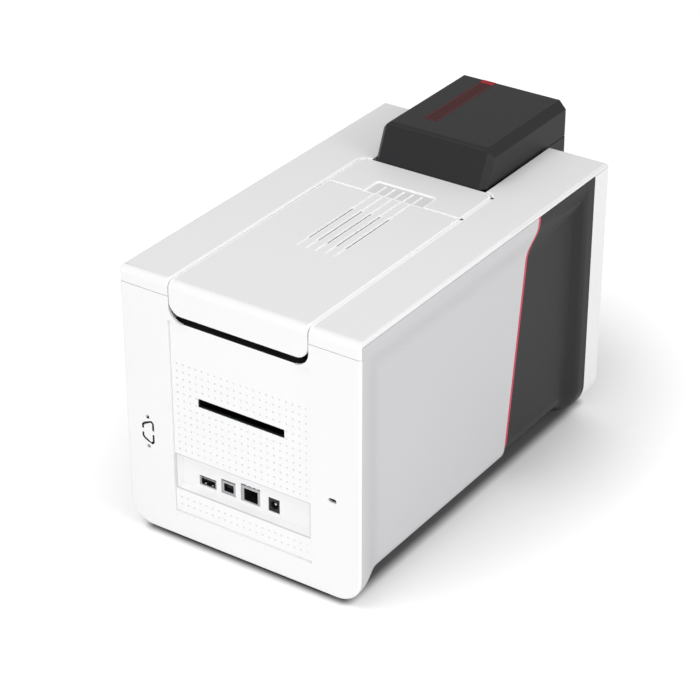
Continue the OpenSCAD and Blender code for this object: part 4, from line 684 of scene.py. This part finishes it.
def settle(piece, body, finish, *replaced, radius=0.0, smooth=30):
    """Ends the shaping: rounds the edges, shades and puts the piece on its body."""
    if piece.mode == "EDIT":
        bpy.ops.object.mode_set(mode="OBJECT")
    bpy.ops.object.select_all(action="DESELECT")
    piece.select_set(True)
    bpy.context.view_layer.objects.active = piece
    if radius:
        edge = piece.modifiers.new("edge_radius", "BEVEL")
        edge.width, edge.segments, edge.limit_method, edge.angle_limit = radius, 2, "ANGLE", math.radians(40)
        bpy.ops.object.modifier_apply(modifier="edge_radius")
    bpy.ops.object.shade_smooth_by_angle(angle=math.radians(smooth))
    piece.select_set(False)
    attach(piece, body)
    if replaced:
        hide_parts(*replaced)
    finish.on(piece)
    return piece


def repeat(piece, step, count):
    """The piece, made count times along step."""
    row = piece.modifiers.new("row", "ARRAY")
    row.use_relative_offset, row.use_constant_offset = False, True
    row.constant_offset_displace, row.count = step, count
    if piece.mode == "EDIT":
        bpy.ops.object.mode_set(mode="OBJECT")
    bpy.ops.object.modifier_apply(modifier="row")


tinned = plated("tinned_leads", (0.72, 0.72, 0.74), rough=0.3)
rows = []
for x, y, half, count, pitch in ((0, 0.1223, 0.0120, 14, 0.0016), (-0.030, 0.1213, 0.0060, 7, 0.0018),
                                 (0.030, 0.1213, 0.0060, 7, 0.0018)):
    for way in (-1, 1):
        start = y - pitch * (count - 1) / 2
        near, far = x + way * half, x + way * (half + 0.0007)
        lead = block("lead", (min(near, far), start - 0.0002, 0.0509), (max(near, far), start + 0.0002, 0.0511))
        choose(lead, lambda middle, normal, way=way: normal.x * way > 0.9)
        push((way * 0.0004, 0, -0.0008))
        push((way * 0.0008, 0, 0))
        repeat(lead, (0, pitch, 0), count)
        rows.append(lead)
settle(join(*rows), "casing", tinned).name = "chip_leads"

# Host port: a folded, tin-plated shell around a black insulator, whose tongue carries four gilt contacts. Two
# springs stand up from the shell's floor.
port_metal = plated("port_shell_metal", (0.50, 0.50, 0.51), rough=0.3)
port_black = moulded("port_insulator", (0.012, 0.012, 0.013), texture=0.4, rough=0.45, shine=0.25)
gilt = plated("gilt_contacts", (0.80, 0.62, 0.28), rough=0.25)
face_y, board_z = 0.1820, 0.0500


def rear_face(middle, normal):
    """Chooses the faces that look to the rear."""
    return normal.y > 0.9


def shell(name, low, high, rim, deep, floor_rim=None):
    """A metal port shell: a block whose rear face is inset by the rim and pushed in."""
    piece = block(name, low, high)
    choose(piece, rear_face)
    bpy.ops.mesh.inset(thickness=rim)
    if floor_rim is not None:
        mesh = bmesh.from_edit_mesh(piece.data)
        for corner in mesh.verts:
            if corner.select and corner.co.z < (low[2] + high[2]) / 2:
                corner.co.z = low[2] + floor_rim
        bmesh.update_edit_mesh(piece.data)
    push((0, -deep, 0))
    return piece


def in_black(piece, low, high):
    """The inside of a shell, painted as its black insulator."""
    blackened = Finish(piece.name + "_metal")
    inside = blackened.within(low, high)
    drawn = blackened.noise(900.0, 2.0)
    blackened.set(Base_Color=blackened.mix(inside, (0.50, 0.50, 0.51), (0.012, 0.012, 0.013)), Metallic=1 - inside,
              Roughness=0.3 + 0.14 * drawn)
    blackened.on(piece)


def step(inset, depth):
    """Insets the chosen face and pushes what is inside it along Y."""
    bpy.ops.mesh.inset(thickness=inset)
    push((0, depth, 0))


host = shell("host_port_shell", (0.0293, 0.1680, board_z), (0.0427, face_y, 0.0564), 0.0005, 0.0120)
settle(host, "casing", port_metal, "usb_host_port", radius=0.00012)
in_black(host, (0.0297, 0.16, 0.0504), (0.0423, face_y - 0.0004, 0.0560))
tongue = block("host_port_tongue", (0.0306, 0.1700, 0.0537), (0.0414, face_y - 0.0014, 0.0555))
choose(tongue, rear_face)
step(0.0004, 0.0004)
settle(tongue, "casing", port_black)
pins = block("host_port_pin", (0.0319, 0.1705, 0.0535), (0.0329, face_y - 0.0020, 0.05372))
choose(pins, rear_face)
push((0, 0.0006, 0.0002))
repeat(pins, (0.0024, 0, 0), 4)
settle(pins, "casing", gilt).name = "host_port_contacts"
springs = block("host_port_spring", (0.0322, 0.1770, 0.0504), (0.0336, 0.1800, 0.0506))
choose(springs, rear_face)
push((0, 0.0008, 0.0009))
push((0, 0.0004, -0.0003))
repeat(springs, (0.0062, 0, 0), 2)
settle(springs, "casing", tinned).name = "host_port_springs"

# Device port: a thick-walled square shell with two cut upper corners, and a square insulator standing in it.
device = shell("device_port_shell", (0.0113, 0.1670, board_z), (0.0237, face_y, 0.0603), 0.0019, 0.0120, 0.0018)
bpy.ops.mesh.select_mode(type="EDGE")
bpy.ops.mesh.select_all(action="DESELECT")
cavity = bmesh.from_edit_mesh(device.data)
for edge in cavity.edges:
    middle = (edge.verts[0].co + edge.verts[1].co) / 2
    length = edge.verts[0].co - edge.verts[1].co
    straight_in = abs(length.z) < 1e-6 and abs(length.x) < 1e-6
    edge.select = straight_in and 0.0135 < middle.x < 0.0215 and 0.0580 < middle.z < 0.0600
cavity.select_flush_mode()
bmesh.update_edit_mesh(device.data)
bpy.ops.mesh.bevel(offset=0.0016, segments=1, affect="EDGES")
settle(device, "casing", port_metal, "usb_device_port", radius=0.00012)
in_black(device, (0.0131, 0.16, 0.0517), (0.0219, face_y - 0.0004, 0.0586))
core = block("device_port_core", (0.0147, 0.1690, 0.0538), (0.0203, face_y - 0.0022, 0.0569))
choose(core, rear_face)
step(0.0005, 0.0004)
settle(core, "casing", port_black)

# Network port: a broad plated face around the plug's opening, eight sprung wires inside, and earthing tabs that
# bear on the hole in the panel.
network = shell("network_port_shell", (-0.01045, 0.1640, board_z), (0.00605, face_y, 0.0628), 0.0022, 0.0140, 0.0006)
settle(network, "casing", port_metal, "ethernet_port", radius=0.00012)
in_black(network, (-0.0084, 0.16, 0.0504), (0.0040, face_y - 0.0004, 0.0607))
tabs = block("network_port_tab", (-0.0086, 0.1811, 0.0627), (-0.0062, 0.1817, 0.0631))
choose(tabs, lambda middle, normal: normal.z > 0.9)
push((0, 0.0002, 0.0007))
repeat(tabs, (0.0042, 0, 0), 3)
side_tabs = block("network_side_tab", (-0.0107, 0.1811, 0.0520), (-0.0104, 0.1817, 0.0540))
choose(side_tabs, lambda middle, normal: normal.x < -0.9)
push((-0.00005, 0.0001, 0))
repeat(side_tabs, (0, 0, 0.0036), 3)
settle(join(tabs, side_tabs), "casing", tinned).name = "network_port_tabs"
wires = block("network_wire", (-0.00590, 0.1700, 0.0560), (-0.00560, 0.1703, 0.0563))
choose(wires, rear_face)
push((0, 0.0070, 0.0034))
push((0, 0.0006, 0.0002))
repeat(wires, (0.00102, 0, 0), 8)
settle(wires, "casing", gilt).name = "network_port_wires"

# Power inlet: a black moulded block with a round socket and a steel centre pin.
inlet = Finish("inlet_black_and_pin")
pin = inlet.reach(x=-0.023, z=0.0556) < 0.0012
inlet.set(Base_Color=inlet.mix(pin, (0.014, 0.014, 0.015), (0.6, 0.6, 0.62)), Metallic=pin,
          Roughness=0.5 - 0.2 * pin, Specular_IOR_Level=0.3)
soften("power_inlet", "casing", inlet, width=0.0002)

# Feeder: a black box for the card stack and, hinged at its rear, a cover. A tinted red window, let into each of them,
# shows how many cards are left. Its border and front end are painted a paler red, a painted highlight of the light
# that gathers along its edges.
soften("feeder_housing", "casing", black_plastic, width=0.0003)


def cover_rear_top(a, b):
    """The cover's rear top edge, between its end points a and b, and the short edges beside it."""
    return min(a.z, b.z) > 0.2440 and min(a.y, b.y) > -0.0750


soften("feeder_cover", "feeder_cover", black_plastic, width=0.0005, large=cover_rear_top)
window = Finish("tinted_red_window", Roughness=0.3, Specular_IOR_Level=0.12)
# Painted highlight: the window is painted paler red round its border and brightest at its front end.
flat = (window.x > 0.0150) * (window.x < 0.0250) * (window.y < -0.0871)
border = 1 - flat
end = window.y < -0.1690
tint = window.mix(border, (0.046, 0.001, 0.002), (0.11, 0.022, 0.028))
window.set(Base_Color=window.mix(end, tint, (0.34, 0.006, 0.014)),
           Normal=window.bump(window.noise(90.0), 0.0002, 0.2))
window.on("level_window", "feeder_window")

# Front: a black fascia around the hopper's mouth and the black hopper that catches the printed cards.
soften("front_fascia", "casing", black_plastic, width=0.0003)
soften("output_hopper", "hopper", black_plastic, width=0.0005)

# Control button and indicators: a turned-looking grey cap with a shallow dish for the finger, and three small
# domed lenses above it.
def disc(name, place, radius, depth, sides):
    """A short cylinder along Y, ready to be shaped."""
    bpy.ops.object.select_all(action="DESELECT")
    bpy.ops.mesh.primitive_cylinder_add(vertices=sides, radius=radius, depth=depth, location=place,
                                        rotation=(math.pi / 2, 0, 0))
    piece = bpy.context.object
    piece.name = piece.data.name = name
    bpy.ops.object.transform_apply(location=True, rotation=True, scale=True)
    return piece


button_x, button_z = 0.076, 0.150
cap = disc("button_cap", (button_x, -0.1485, button_z), 0.008, 0.0036, 64)
choose(cap, lambda middle, normal: normal.y < -0.9)
for inset, depth in ((0.0009, 0.00015), (0.0020, 0.00030), (0.0025, 0.00012)):
    step(inset, depth)
choose(cap, rear_face)
push((0, 0.0001, 0))
bpy.ops.transform.resize(value=(1.15, 1, 1.15), center_override=(button_x, -0.1467, button_z))
push((0, 0.0016, 0))
settle(cap, "button", grey_control, "control_button", radius=0.00025)
lenses = []
for lens_x in (button_x - 0.008, button_x, button_x + 0.008):
    lens = disc("lens", (lens_x, -0.1470, 0.168), 0.0016, 0.0044, 32)
    choose(lens, lambda middle, normal: normal.y < -0.9)
    for inset, depth in ((0.0004, -0.0002), (0.0005, -0.0001)):
        step(inset, depth)
    bpy.ops.object.mode_set(mode="OBJECT")
    lenses.append(lens)
clear_lens = Finish("milky_lens", Base_Color=(0.72, 0.76, 0.78), Roughness=0.18)
clear_lens.set(Normal=clear_lens.bump(clear_lens.noise(400.0), 0.0001, 0.2))
settle(join(*lenses), "casing", clear_lens, "indicator_lenses").name = "lens_domes"
